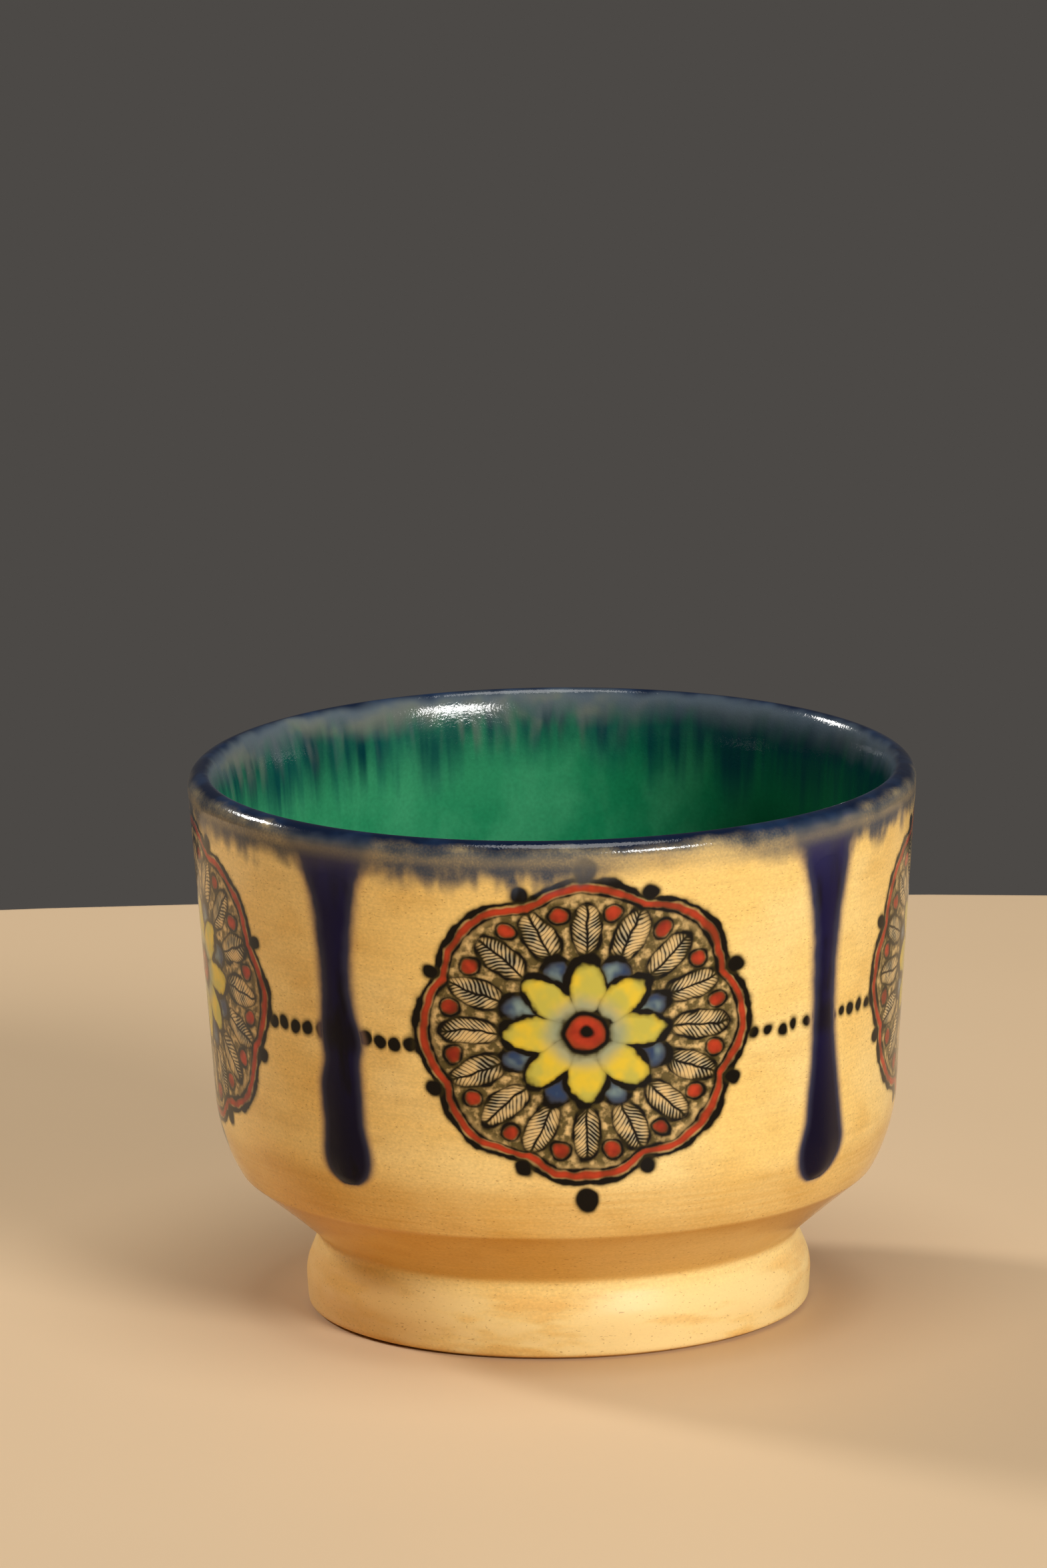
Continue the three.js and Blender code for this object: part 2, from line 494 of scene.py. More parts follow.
class Value:
    """A number that varies over a surface. Arithmetic on it adds Math nodes."""

    def __init__(self, recipe: "Recipe", socket: bpy.types.NodeSocket) -> None:
        """Wraps an output socket of a recipe's node."""
        self.recipe = recipe
        self.socket = socket

    def __add__(self, other: "Value | float") -> "Value":
        """The sum."""
        return self.recipe.math("ADD", self, other)

    def __sub__(self, other: "Value | float") -> "Value":
        """The difference."""
        return self.recipe.math("SUBTRACT", self, other)

    def __rsub__(self, other: float) -> "Value":
        """The difference from a number."""
        return self.recipe.math("SUBTRACT", other, self)

    def __mul__(self, other: "Value | float") -> "Value":
        """The product."""
        return self.recipe.math("MULTIPLY", self, other)

    def __truediv__(self, other: "Value | float") -> "Value":
        """The quotient."""
        return self.recipe.math("DIVIDE", self, other)

    def __pow__(self, other: float) -> "Value":
        """The power."""
        return self.recipe.math("POWER", self, other)

    __radd__ = __add__
    __rmul__ = __mul__

    def __neg__(self) -> "Value":
        """The same number with its sign changed."""
        return self * -1

    def __abs__(self) -> "Value":
        """The same number without its sign."""
        return self.recipe.math("ABSOLUTE", self)

    def least(self, other: "Value | float") -> "Value":
        """The lesser of two numbers."""
        return self.recipe.math("MINIMUM", self, other)

    def most(self, other: "Value | float") -> "Value":
        """The greater of two numbers."""
        return self.recipe.math("MAXIMUM", self, other)

    def with_side(self, other: "Value") -> "Value":
        """The long side of a right angle with two short sides, by Pythagoras."""
        return (self**2 + other**2) ** 0.5

    def wave(self) -> "Value":
        """The cosine."""
        return self.recipe.math("COSINE", self)

    def whole(self) -> "Value":
        """The nearest whole number."""
        return self.recipe.math("ROUND", self)


@dataclass(frozen=True)
class Grain:
    """Noise whose features have a size round the cup and another up it.

    Its finer layers are counted by layers, and rough is their strength.
    """

    across: float
    up: float
    layers: float = 2
    rough: float = 0.5


@dataclass(frozen=True)
class Clouds:
    """A mask from noise: 0 where the noise is under low, and its share where it is over high."""

    grain: Grain
    low: float
    high: float
    share: float = 1


@dataclass(frozen=True)
class Band:
    """A stretch with two soft ends."""

    start: Span
    stop: Span


@dataclass(frozen=True)
class Edge:
    """Where a glaze thins out: its mean place, how far it follows a wander, and its softness."""

    place: float
    wander: float
    before: float
    after: float


class Recipe:
    """One finish or light being mixed: a tree of nodes, added by expressions."""

    def __init__(self, owner: bpy.types.Material | bpy.types.World) -> None:
        """Empties the tree of a new material or world.

        Args:
            owner: the material or world.
        """
        owner.use_nodes = True
        self.owner = owner
        self.tree = owner.node_tree
        self.tree.nodes.clear()

    @classmethod
    def named(cls, name: str) -> "Recipe":
        """Starts a new material."""
        return cls(bpy.data.materials.new(name))

    def node(
        self, kind: str, inputs: dict | None = None, output: str | int = 0, **settings: object
    ) -> Value | None:
        """Adds any node.

        Args:
            kind: the node's type.
            inputs: a number, colour, vector or Value for each input socket's name or number.
            output: the output socket's name or number.
            settings: the node's own settings, which are set before its sockets.

        Returns:
            The output, or None for a node that has none.
        """
        node = self.tree.nodes.new(kind)
        for key, setting in settings.items():
            setattr(node, key, setting)
        shown = [socket for socket in node.inputs if socket.enabled]
        for key, given in (inputs or {}).items():
            by_name = (socket for socket in shown if socket.name == key)
            socket = shown[key] if isinstance(key, int) else next(by_name)
            if isinstance(given, Value):
                self.tree.links.new(given.socket, socket)
            elif isinstance(given, tuple) and socket.type == "RGBA":
                socket.default_value = (*given, 1)
            else:
                socket.default_value = given
        ready = [socket for socket in node.outputs if socket.enabled]
        if isinstance(output, str):
            return Value(self, next(socket for socket in ready if socket.name == output))
        return Value(self, ready[output]) if ready else None

    def math(self, operation: str, *terms: Value | float) -> Value:
        """A Math node on one, two or three numbers."""
        return self.node("ShaderNodeMath", dict(enumerate(terms)), operation=operation)

    def times(self, vector: Value, scale: Value | Colour) -> Value:
        """A colour or vector times another, channel by channel."""
        return self.node("ShaderNodeVectorMath", {0: vector, 1: scale}, operation="MULTIPLY")

    def smooth(self, value: Value, low: float | Value, high: float | Value, share: float = 1) -> Value:
        """0 below low, a share above high, and a smooth step between them."""
        ends = {"Value": value, "From Min": low, "From Max": high, "To Max": share}
        return self.node("ShaderNodeMapRange", ends, interpolation_type="SMOOTHSTEP")

    def fade(self, value: Value, low: float | Value, high: float | Value, share: float = 1) -> Value:
        """A share below low, 0 above high, and a smooth step between them."""
        return share - self.smooth(value, low, high, share)

    def band(self, value: Value, band: Band) -> Value:
        """1 between a band's two ends."""
        return self.smooth(value, *band.start) * self.fade(value, *band.stop)

    def until(self, way: Value, edge: Edge, wander: Value) -> Value:
        """1 up to a glaze's wandering edge and 0 past it."""
        place = edge.place + edge.wander * wander
        return self.fade(way, place - edge.before, place + edge.after)

    def inside(self, distance: Value, soft: float) -> Value:
        """1 where a distance is negative and 0 outside, with an edge of a given softness."""
        return self.fade(distance, -soft, soft)

    def stroke(self, distance: Value, half: float | Value, soft: float) -> Value:
        """1 on a painted line along distance 0, of a given half width and softness."""
        return self.inside(abs(distance) - half, soft)

    def mix(self, share: Value, under: Value | Colour, over: Value | Colour) -> Value:
        """One colour laid over another by a share from 0 to 1."""
        inputs = {"Factor": share, "A": under, "B": over}
        return self.node("ShaderNodeMix", inputs, data_type="RGBA", clamp_factor=True)

    def tone(self, colour: Value, amount: Value) -> Value:
        """A colour made lighter or darker: each channel times an amount."""
        return self.times(colour, self.node("ShaderNodeCombineXYZ", {0: amount, 1: amount, 2: amount}))

    def axis(self, vector: Value, name: str) -> Value:
        """One of a vector's three numbers: X, Y or Z."""
        return self.node("ShaderNodeSeparateXYZ", {0: vector}, name)

    def place(self) -> Value:
        """The point on the piece, in the cup's frame, in metres."""
        return self.node("ShaderNodeTexCoord", None, "Object")

    def height(self) -> Value:
        """The height above the base."""
        return self.axis(self.place(), "Z") / MM

    def rightward(self) -> Value:
        """How far to the right of the cup's axis a point lies."""
        return self.axis(self.place(), "X") / MM

    def read(self, name: str) -> Value:
        """A number that the piece keeps under a name."""
        return self.node("ShaderNodeAttribute", None, "Fac", attribute_name=name)

    def grain(self, grain: Grain, output: str | int = 0) -> Value:
        """Noise, about 0.5 in the middle.

        Args:
            grain: the sizes of its features.
            output: 0 for a number, "Color" for three.

        Returns:
            The noise.
        """
        scale = (1 / (grain.across * MM), 1 / (grain.across * MM), 1 / (grain.up * MM))
        at = self.times(self.place(), scale)
        inputs = {"Vector": at, "Scale": 1.0, "Detail": grain.layers, "Roughness": grain.rough}
        return self.node("ShaderNodeTexNoise", inputs, output)

    def sway(self, grain: Grain) -> Value:
        """Noise about 0, from -0.5 to 0.5."""
        return self.grain(grain) - 0.5

    def clouds(self, clouds: Clouds) -> Value:
        """A cloudy mask."""
        return self.smooth(self.grain(clouds.grain), clouds.low, clouds.high, clouds.share)

    def chance(self, *seeds: Value) -> Value:
        """An even random number from 0 to 1 that stays the same for the same seeds."""
        at = self.node("ShaderNodeCombineXYZ", dict(enumerate(seeds)))
        return self.node("ShaderNodeTexWhiteNoise", {"Vector": at}, "Value", noise_dimensions="3D")

    def gloss(
        self, colour: Value, roughness: Value | float, bump: Value | None = None, shine: float = 0.5
    ) -> Value:
        """A Principled shader.

        Args:
            colour: the colour over the surface.
            roughness: the roughness over it.
            bump: heights in millimetres of a fine relief, if the surface has one.
            shine: how strong the reflection is, 0.5 for glass.

        Returns:
            The shader.
        """
        inputs = {"Base Color": colour, "Roughness": roughness, "Specular IOR Level": shine}
        if bump is not None:
            relief = {"Height": bump, "Distance": MM, "Strength": 1.0}
            inputs["Normal"] = self.node("ShaderNodeBump", relief)
        return self.node("ShaderNodeBsdfPrincipled", inputs)

    def choose(self, share: Value, under: Value, over: Value) -> Value:
        """One shader laid over another by a share from 0 to 1."""
        return self.node("ShaderNodeMixShader", {0: share, 1: under, 2: over})

    def fire(self, shader: Value) -> bpy.types.Material:
        """Closes a material's recipe with its shader."""
        self.node("ShaderNodeOutputMaterial", {"Surface": shader})
        return self.owner


@dataclass(frozen=True)
class ClayTones:
    """Colours of the fired buff clay under clear glaze, and the marks that break them up."""

    light: Colour = srgb(247, 219, 148)
    mid: Colour = srgb(242, 206, 125)
    deep: Colour = srgb(194, 141, 46)
    amber: Colour = srgb(226, 162, 80)
    # cream lightens the foot in patches: painted sheen
    cream: Colour = srgb(251, 223, 156)
    speck: Colour = srgb(132, 74, 28)
    clouds: Clouds = Clouds(Grain(26, 18, 3, 0.55), 0.35, 0.68)
    patches: Clouds = Clouds(Grain(9, 5), 0.45, 0.8, 0.3)
    lines: Grain = Grain(14, 0.5, 2.5, 0.6)
    sand: Grain = Grain(0.45, 0.3, 1)
    least_tone: float = 0.7
    line_tone: float = 0.22
    sand_tone: float = 0.38
    turned_belt: Band = Band((16, 19), (24.5, 27))
    turned_share: float = 0.8
    turned_least: float = 0.1
    foot_top: Span = (7, 10)
    strokes: Grain = Grain(13, 3.4, 2.5, 0.6)
    painted_sheen: Ramp = (0.36, 0.58, 0.75)
    golden: Ramp = (0.34, 0.52, 0.34)
    left_painted_shade: Ramp = (-31, -12, 0.42)
    cove: Band = Band((9.6, 10.7), (18.1, 18.9))
    cove_share: float = 0.54
    dashes: Clouds = Clouds(Grain(0.8, 0.16, 1), 0.67, 0.76, 0.5)
    scatter: Clouds = Clouds(Grain(7, 4, 1), 0.45, 0.7)
    pits: Clouds = Clouds(Grain(0.4, 0.2, 0), 0.73, 0.84, 0.4)

    def glazed(self, recipe: Recipe) -> Value:
        """Clay seen through clear glaze: clouds, sand and turning lines, then cream patches on the foot
        that are painted sheen, amber patches on the foot with amber on its left side as painted shade,
        the deeper cove, and short dark dashes and pits.

        Args:
            recipe: the finish being mixed.

        Returns:
            The colour.
        """
        height = recipe.height()
        lines = recipe.grain(self.lines)
        colour = recipe.mix(recipe.clouds(self.clouds), self.mid, self.light)
        colour = recipe.mix(recipe.clouds(self.patches), colour, self.deep)
        sand = self.sand_tone * recipe.grain(self.sand)
        colour = recipe.tone(colour, self.least_tone + self.line_tone * lines + sand)
        turned = recipe.band(height, self.turned_belt) * (self.turned_share * lines - self.turned_least)
        colour = recipe.mix(turned, colour, self.deep)
        foot = recipe.fade(height, *self.foot_top)
        strokes = recipe.grain(self.strokes)
        # cream patches on the foot: painted sheen
        colour = recipe.mix(foot * recipe.smooth(strokes, *self.painted_sheen), colour, self.cream)
        golden = recipe.fade(strokes, *self.golden)
        # amber towards the foot's left side is painted shade; the golden amber patches are the glaze's
        # own
        left_painted_shade = recipe.fade(recipe.rightward(), *self.left_painted_shade)
        colour = recipe.mix(foot * golden.most(left_painted_shade), colour, self.amber)
        colour = recipe.mix(self.cove_share * recipe.band(height, self.cove), colour, self.deep)
        dashes = recipe.clouds(self.dashes) * recipe.clouds(self.scatter)
        colour = recipe.mix(dashes, colour, self.speck)
        return recipe.mix(recipe.clouds(self.pits), colour, self.speck)


@dataclass(frozen=True)
class BareClay:
    """Matt fired clay with dark grains, as on the base."""

    colour: Colour = srgb(206, 170, 116)
    clouds: Clouds = Clouds(Grain(14, 14, 3, 0.6), 0.35, 0.7)
    grains: Clouds = Clouds(Grain(0.6, 0.5, 1), 0.68, 0.76, 0.5)
    tooth: Grain = Grain(0.5, 0.4)
    tooth_height: float = 0.05
    roughness: float = 0.78
    unevenness: float = 0.12

    def shader(self, recipe: Recipe, tones: ClayTones) -> Value:
        """The clay's shader.

        Args:
            recipe: the finish being mixed.
            tones: the colours of the same clay under glaze.

        Returns:
            The shader.
        """
        colour = recipe.mix(recipe.clouds(self.clouds), self.colour, tones.mid)
        colour = recipe.mix(recipe.clouds(self.grains), colour, tones.speck)
        roughness = self.roughness + self.unevenness * recipe.sway(self.clouds.grain)
        return recipe.gloss(colour, roughness, self.tooth_height * recipe.grain(self.tooth))


@dataclass(frozen=True)
class RimTones:
    """Colours of the cobalt rim: thick on the lip, breaking to tan, and gathered below."""

    navy: Colour = srgb(9, 23, 46)
    cobalt: Colour = srgb(30, 52, 82)
    slate: Colour = srgb(60, 73, 86)
    mist: Colour = srgb(80, 92, 104)
    grey: Colour = srgb(112, 114, 104)
    tan: Colour = srgb(124, 116, 100)
    pooled: Colour = srgb(62, 71, 86)
    clouds: Clouds = Clouds(Grain(7, 7, 2.5, 0.6), 0.42, 0.72, 0.65)

    def crest(self, recipe: Recipe) -> Value:
        """The lip's top: navy with paler clouds of cobalt."""
        return recipe.mix(recipe.clouds(self.clouds), self.navy, self.cobalt)


@dataclass(frozen=True)
class RimOutside:
    """The rim as it runs over the outside of the lip onto the clay."""

    tones: RimTones = RimTones()
    patches: Grain = Grain(8, 5)
    patch_wander: float = 5
    blots: Grain = Grain(3, 3.6, 1.5)
    blot_wander: float = 2.5
    streaks: Grain = Grain(1.8, 8, 1)
    speckle: Grain = Grain(0.3, 0.3, 1)
    blot_share: float = 0.55
    lobe_levels: Span = (0.33, 0.62)
    run_start: Span = (3.6, 5.4)
    run_edge: Span = (-1.2, 0.6)
    run_share: float = 0.8
    tan_start: Span = (1.5, 2.6)
    tan_edge: Edge = Edge(5, 0.5, 1.5, 1.5)
    tan_push: float = 1.4
    tan_least: float = 0.2
    tan_pool: float = 0.6
    tan_speckle: float = 0.45
    pool_start: Span = (3.4, 4.8)
    pool_edge: Edge = Edge(4.9, 1, 2.2, 1.4)
    pool_reach: float = 0.4
    lobe_reach: float = 2.6
    pool_least: float = 0.5
    pool_lobes: float = 0.35
    pool_speckle: float = 0.3
    slate_edge: Edge = Edge(3, 0.7, 1.2, 1.1)
    slate_least: float = 0.55
    slate_speckle: float = 0.5
    navy_edge: Edge = Edge(2.3, 0.6, 1.3, 0.8)

    def over(self, recipe: Recipe, clay: Value) -> Value:
        """Lays a tan veil, the pools' lobes, slate and navy over the clay, each up to its own edge.

        Args:
            recipe: the finish being mixed.
            clay: the colour below.

        Returns:
            The colour.
        """
        fall = recipe.read("fall")
        pool = recipe.read("pool")
        blots = recipe.grain(self.blots)
        speckle = recipe.grain(self.speckle)
        wander = self.patch_wander * recipe.sway(self.patches) + self.blot_wander * (blots - 0.5)
        streaks = (1 - self.blot_share) * recipe.grain(self.streaks)
        lobes = recipe.smooth(self.blot_share * blots + streaks, *self.lobe_levels)
        on_run = recipe.smooth(fall, *self.run_start) * recipe.fade(recipe.read("run"), *self.run_edge)
        clear = 1 - self.run_share * on_run
        veil = recipe.smooth(fall, *self.tan_start)
        veil = veil * recipe.until(fall, self.tan_edge, wander + self.tan_push * pool)
        density = self.tan_least + self.tan_pool * pool + self.tan_speckle * speckle
        colour = recipe.mix(veil * clear * density, clay, self.tones.tan)
        reach = pool * (self.pool_reach + self.lobe_reach * lobes)
        pooled = recipe.smooth(fall, *self.pool_start) * recipe.until(fall, self.pool_edge, reach)
        density = self.pool_least + self.pool_lobes * lobes + self.pool_speckle * speckle
        colour = recipe.mix(pooled * clear * pool * density, colour, self.tones.pooled)
        slate = recipe.until(fall, self.slate_edge, wander)
        density = self.slate_least + self.slate_speckle * speckle
        colour = recipe.mix(slate * density, colour, self.tones.slate)
        return recipe.mix(recipe.until(fall, self.navy_edge, wander), colour, self.tones.crest(recipe))


@dataclass(frozen=True)
class RimInside:
    """The rim as it runs over the inside of the lip onto the green lining."""

    tones: RimTones = RimTones()
    patches: Grain = Grain(9, 5)
    strands: Grain = Grain(3.4, 40, 1.5)
    wander: float = 4
    drips: Clouds = Clouds(Grain(1.8, 50, 1), 0.44, 0.74, 0.5)
    drip_side: Span = (2, 20)
    drip_end: Span = (4.5, 10)
    mottled: Clouds = Clouds(Grain(5, 4), 0.4, 0.62, 0.65)
    veil_painted_shade: Ramp = (5, 24, 0.8)
    veil_edge: Edge = Edge(3.5, 0.7, 1.9, 2.2)
    veil_least: float = 0.8
    mist_edge: Edge = Edge(1.7, 0.6, 1.3, 1.3)
    mist_share: float = 0.85
    blue_edge: Edge = Edge(0.8, 0.4, 1, 0.9)

    def over(self, recipe: Recipe, lining: Value) -> Value:
        """Lays faint drips, a mottled veil that turns slate towards the right as painted shade, mist and
        blue over the lining, each up to its own edge.

        Args:
            recipe: the finish being mixed.
            lining: the colour below.

        Returns:
            The colour.
        """
        depth = -recipe.read("fall")
        rightward = recipe.rightward()
        strands = recipe.grain(self.strands)
        wander = self.wander * (recipe.sway(self.patches) + strands - 0.5)
        veil = recipe.mix(recipe.clouds(self.mottled), self.tones.grey, self.tones.mist)
        # the veil turns slate towards the right: painted shade
        veil = recipe.mix(recipe.smooth(rightward, *self.veil_painted_shade), veil, self.tones.slate)
        drips = recipe.fade(rightward, *self.drip_side) * recipe.fade(depth, *self.drip_end)
        colour = recipe.mix(recipe.clouds(self.drips) * drips, lining, veil)
        density = self.veil_least + (1 - self.veil_least) * strands
        colour = recipe.mix(recipe.until(depth, self.veil_edge, wander) * density, colour, veil)
        mist = self.mist_share * recipe.until(depth, self.mist_edge, wander)
        colour = recipe.mix(mist, colour, self.tones.mist)
        return recipe.mix(recipe.until(depth, self.blue_edge, wander), colour, self.tones.crest(recipe))


@dataclass(frozen=True)
class LiningTones:
    """Colours of the green lining, with dark streaks that ran down from the rim."""

    green: Colour = srgb(24, 122, 79)
    leaf: Colour = srgb(56, 144, 99)
    deep: Colour = srgb(2, 70, 42)
    teal: Colour = srgb(10, 66, 66)
    ink: Colour = srgb(2, 38, 46)
    clouds: Clouds = Clouds(Grain(9, 12, 3, 0.6), 0.38, 0.7)
    # the lit ramps lighten the upper left: painted light
    lit_depth: Span = (11, 22)
    lit_side: Span = (-8, 16)
    lit_share: float = 0.6
    towards_floor: Ramp = (14, 44, 0.75)
    right_painted_shade: Ramp = (4, 34, 0.95)
    sand: Grain = Grain(0.5, 0.5, 1)
    least_tone: float = 0.84
    sand_tone: float = 0.32
    broad: Grain = Grain(7, 90, 1)
    fine: Grain = Grain(3.2, 60, 1.5)
    threads: Clouds = Clouds(Grain(1.5, 60, 1), 0.36, 0.64)
    length_levels: Span = (0.34, 0.66)
    streak_edge: Edge = Edge(5, 1, 4, 4.6)
    least_length: float = 2.6
    uneven_length: float = 3.8
    thread_length: float = 1.6
    least_density: float = 0.66
    fine_density: Ramp = (0.34, 0.64, 0.2)
    thread_density: float = 0.16
    inky: Clouds = Clouds(Grain(5, 60, 1), 0.4, 0.7, 0.6)
    ink_painted_shade: Span = (4, 30)

    def streaked(self, recipe: Recipe) -> Value:
        """Green clouds with painted light at the upper left, deeper towards the floor and, as painted
        shade, towards the right, under soft streaks of uneven length that darken to ink towards the
        right as painted shade.

        Args:
            recipe: the finish being mixed.

        Returns:
            The colour.
        """
        depth = -recipe.read("fall")
        rightward = recipe.rightward()
        colour = recipe.mix(recipe.clouds(self.clouds), self.green, self.leaf)
        # lighter at the upper left: painted light
        lit = recipe.fade(depth, *self.lit_depth) * recipe.fade(rightward, *self.lit_side)
        colour = recipe.mix(self.lit_share * lit, colour, self.leaf)
        # deeper towards the floor, and towards the right as painted shade
        thick = recipe.smooth(depth, *self.towards_floor)
        thick = thick.most(recipe.smooth(rightward, *self.right_painted_shade))
        colour = recipe.mix(thick, colour, self.deep)
        colour = recipe.tone(colour, self.least_tone + self.sand_tone * recipe.grain(self.sand))
        fine = recipe.grain(self.fine)
        threads = recipe.clouds(self.threads)
        length = recipe.smooth(0.5 * recipe.grain(self.broad) + 0.5 * fine, *self.length_levels)
        length = self.least_length + self.uneven_length * length + self.thread_length * threads
        streak = recipe.until(depth, self.streak_edge, length * recipe.read("gather"))
        density = self.least_density + recipe.smooth(fine, *self.fine_density)
        density = density + self.thread_density * threads
        # ink in clouds, and towards the right as painted shade
        inky = recipe.clouds(self.inky).most(recipe.smooth(rightward, *self.ink_painted_shade))
        return recipe.mix(streak * density, colour, recipe.mix(inky, self.teal, self.ink))


@dataclass(frozen=True)
class RunTones:
    """Colours of the blue runs, from the dark middle to the bleed round their edges."""

    core: Colour = srgb(15, 13, 58)
    dark: Colour = srgb(8, 5, 22)
    root: Colour = srgb(46, 48, 98)
    edge: Colour = srgb(58, 60, 82)
    bleed: Colour = srgb(150, 122, 104)
    clouds: Clouds = Clouds(Grain(2.4, 9), 0.4, 0.72)
    bulb: Ramp = (24, 44, 0.75)
    root_end: Ramp = (3, 13, 0.7)
    bead_height: float = 45
    crossing: Ramp = (0.8, 3.2, 0.8)
    wander: Grain = Grain(2.2, 3.2)
    haze_end: Span = (14, 34)
    spread_end: Span = (3, 9)
    widening: float = 0.08
    wander_least: float = 0.35
    wander_haze: float = 0.4
    wander_spread: float = 1.5
    soft_least: float = 0.75
    soft_haze: float = 0.4
    soft_spread: float = 1.2
    bleed_share: float = 0.5
    bleed_start: float = -0.1
    bleed_end: float = 0.2
    edge_start: float = -0.75
    edge_end: float = 0.5
    body_start: float = -0.9
    body_end: float = -0.05

    def body(self, recipe: Recipe) -> Value:
        """The thick glaze: dark clouds along the run, bluer at its root, darkest across the beads.

        Args:
            recipe: the finish being mixed.

        Returns:
            The colour.
        """
        fall = recipe.read("fall")
        gathered = recipe.clouds(self.clouds).most(recipe.smooth(fall, *self.bulb))
        colour = recipe.mix(gathered, self.core, self.dark)
        colour = recipe.mix(recipe.fade(fall, *self.root_end), colour, self.root)
        crossing = recipe.fade(abs(recipe.height() - self.bead_height), *self.crossing)
        return recipe.mix(crossing, colour, self.dark)

    def stain(self, recipe: Recipe, under: Value) -> Value:
        """The run over the glaze round it: a brown bleed, a grey edge and the body, whose edges
        wander, and are softer and wider towards the rim.

        Args:
            recipe: the finish being mixed.
            under: the colour below.

        Returns:
            The colour.
        """
        fall = recipe.read("fall")
        haze = recipe.fade(fall, *self.haze_end)
        spread = recipe.fade(fall, *self.spread_end)
        soft = self.soft_least + self.soft_haze * haze + self.soft_spread * spread
        wander = self.wander_least + self.wander_haze * haze + self.wander_spread * spread
        gap = recipe.read("run") + wander * recipe.sway(self.wander) - self.widening
        halo = recipe.fade(gap, self.bleed_start, self.bleed_end + soft, self.bleed_share)
        colour = recipe.mix(halo, under, self.bleed)
        brink = recipe.fade(gap, self.edge_start - spread, self.edge_end * soft)
        colour = recipe.mix(brink, colour, self.edge)
        thick = recipe.fade(gap, self.body_start - soft, self.body_end)
        return recipe.mix(thick, colour, self.body(recipe))


@dataclass(frozen=True)
class Brush:
    """How a black mark ends: its softness, and the reach, softness and share of its olive bleed."""

    soft: float
    reach: float
    bleed_soft: float
    bleed_share: float


@dataclass(frozen=True)
class Line:
    """A brushed line's half width at its lightest, and what the hand's press adds to it."""

    light: float
    press: float


@dataclass(frozen=True)
class Pigments:
    """Colours of the brushwork."""

    black: Colour = srgb(13, 10, 7)
    red: Colour = srgb(190, 64, 36)
    rust: Colour = srgb(128, 38, 24)
    cream: Colour = srgb(222, 190, 130)
    yellow: Colour = srgb(226, 196, 58)
    lime: Colour = srgb(182, 180, 84)
    blue: Colour = srgb(44, 64, 100)
    mist: Colour = srgb(128, 150, 146)
    olive: Colour = srgb(66, 58, 24)

    def mark(
        self, recipe: Recipe, under: Value, distance: Value, brush: Brush, mask: Value | float = 1.0
    ) -> Value:
        """A black mark where a distance is negative, with an olive bleed round it.

        Args:
            recipe: the finish being mixed.
            under: the colour below.
            distance: the distance outside the mark.
            brush: how the mark ends.
            mask: where the mark is painted, 0 to 1.

        Returns:
            The colour.
        """
        bleed = brush.bleed_share * recipe.inside(distance - brush.reach, brush.bleed_soft)
        colour = recipe.mix(bleed * mask, under, self.olive)
        return recipe.mix(recipe.inside(distance, brush.soft) * mask, colour, self.black)


@dataclass(frozen=True)
class BeadRows:
    """Rows of black dots of uneven size between the medallions; every other row is fuller."""

    tints: Pigments = Pigments()
    pitch: float = 2.35
    drop: float = 2.2
    start: float = 0.4
    first: Span = (-0.55, -0.45)
    radius: float = 0.6
    uneven_radius: float = 0.3
    fuller_radius: float = 0.24
    drift_along: float = 0.16
    drift_up: float = 0.8
    side_seed: int = 5
    row_seed: int = 11
    brush: Brush = Brush(soft=0.2, reach=0.3, bleed_soft=0.4, bleed_share=0.6)

    def paint(
        self, recipe: Recipe, under: Value, aside: Value, up: Value, side: Value, turns: Value
    ) -> Value:
        """Each dot is a circle about its own whole number of pitches, moved and sized by chance.

        Args:
            recipe: the finish being mixed.
            under: the colour below.
            aside: the distance outside the medallion's half width.
            up: the height above the medallion's centre.
            side: the distance to the right of the medallion's centre.
            turns: quarter turns round the cup.

        Returns:
            The colour.
        """
        way = (aside - self.start) / self.pitch
        number = way.whole()
        row = recipe.math("FLOOR", turns)
        fuller = 0.5 - 0.5 * (row * math.pi).wave()
        hand = self.side_seed * recipe.math("SIGN", side) + self.row_seed * row
        drift = recipe.chance(hand, number) - 0.5
        radius = self.uneven_radius * recipe.chance(number, hand)
        radius = self.radius + radius + self.fuller_radius * fuller
        apart = (way - number + self.drift_along * drift) * self.pitch
        distance = apart.with_side(up + self.drop - self.drift_up * drift) - radius
        return self.tints.mark(recipe, under, distance, self.brush, recipe.smooth(way, *self.first))


@dataclass(frozen=True)
class Spot:
    """Where a point lies in a medallion: radius, angle, and how hard the brush presses there."""

    radius: Value | float
    angle: Value
    press: Value

    def beside(self, count: int, shift: float) -> Value:
        """How far round from the nearest of some evenly spaced motifs the point lies."""
        turns = self.angle * (count / TAU) + shift
        return (turns - turns.whole()) * (TAU / count) * self.radius


@dataclass(frozen=True)
class Oval:
    """A leaf or petal: its half sizes, its middle's distance from the centre, and its mean radius."""

    half_width: float
    half_length: float
    out: float
    mean: float

    def outside(self, beside: Value, radius: Value) -> Value:
        """The distance outside the oval, as its share of the oval's radius times the mean radius."""
        share = (beside / self.half_width).with_side((radius - self.out) / self.half_length)
        return (share - 1) * self.mean


@dataclass(frozen=True)
class Motif:
    """What the parts of a medallion share: colours, the line's brush and the washes' soft edge."""

    tints: Pigments = Pigments()
    brush: Brush = Brush(soft=0.22, reach=0.3, bleed_soft=0.45, bleed_share=0.5)
    soft: float = 0.2

    def draw(self, recipe: Recipe, under: Value, distance: Value, line: Line, press: Value) -> Value:
        """A brushed black line along distance 0."""
        half = line.light + line.press * press
        return self.tints.mark(recipe, under, abs(distance) - half, self.brush)


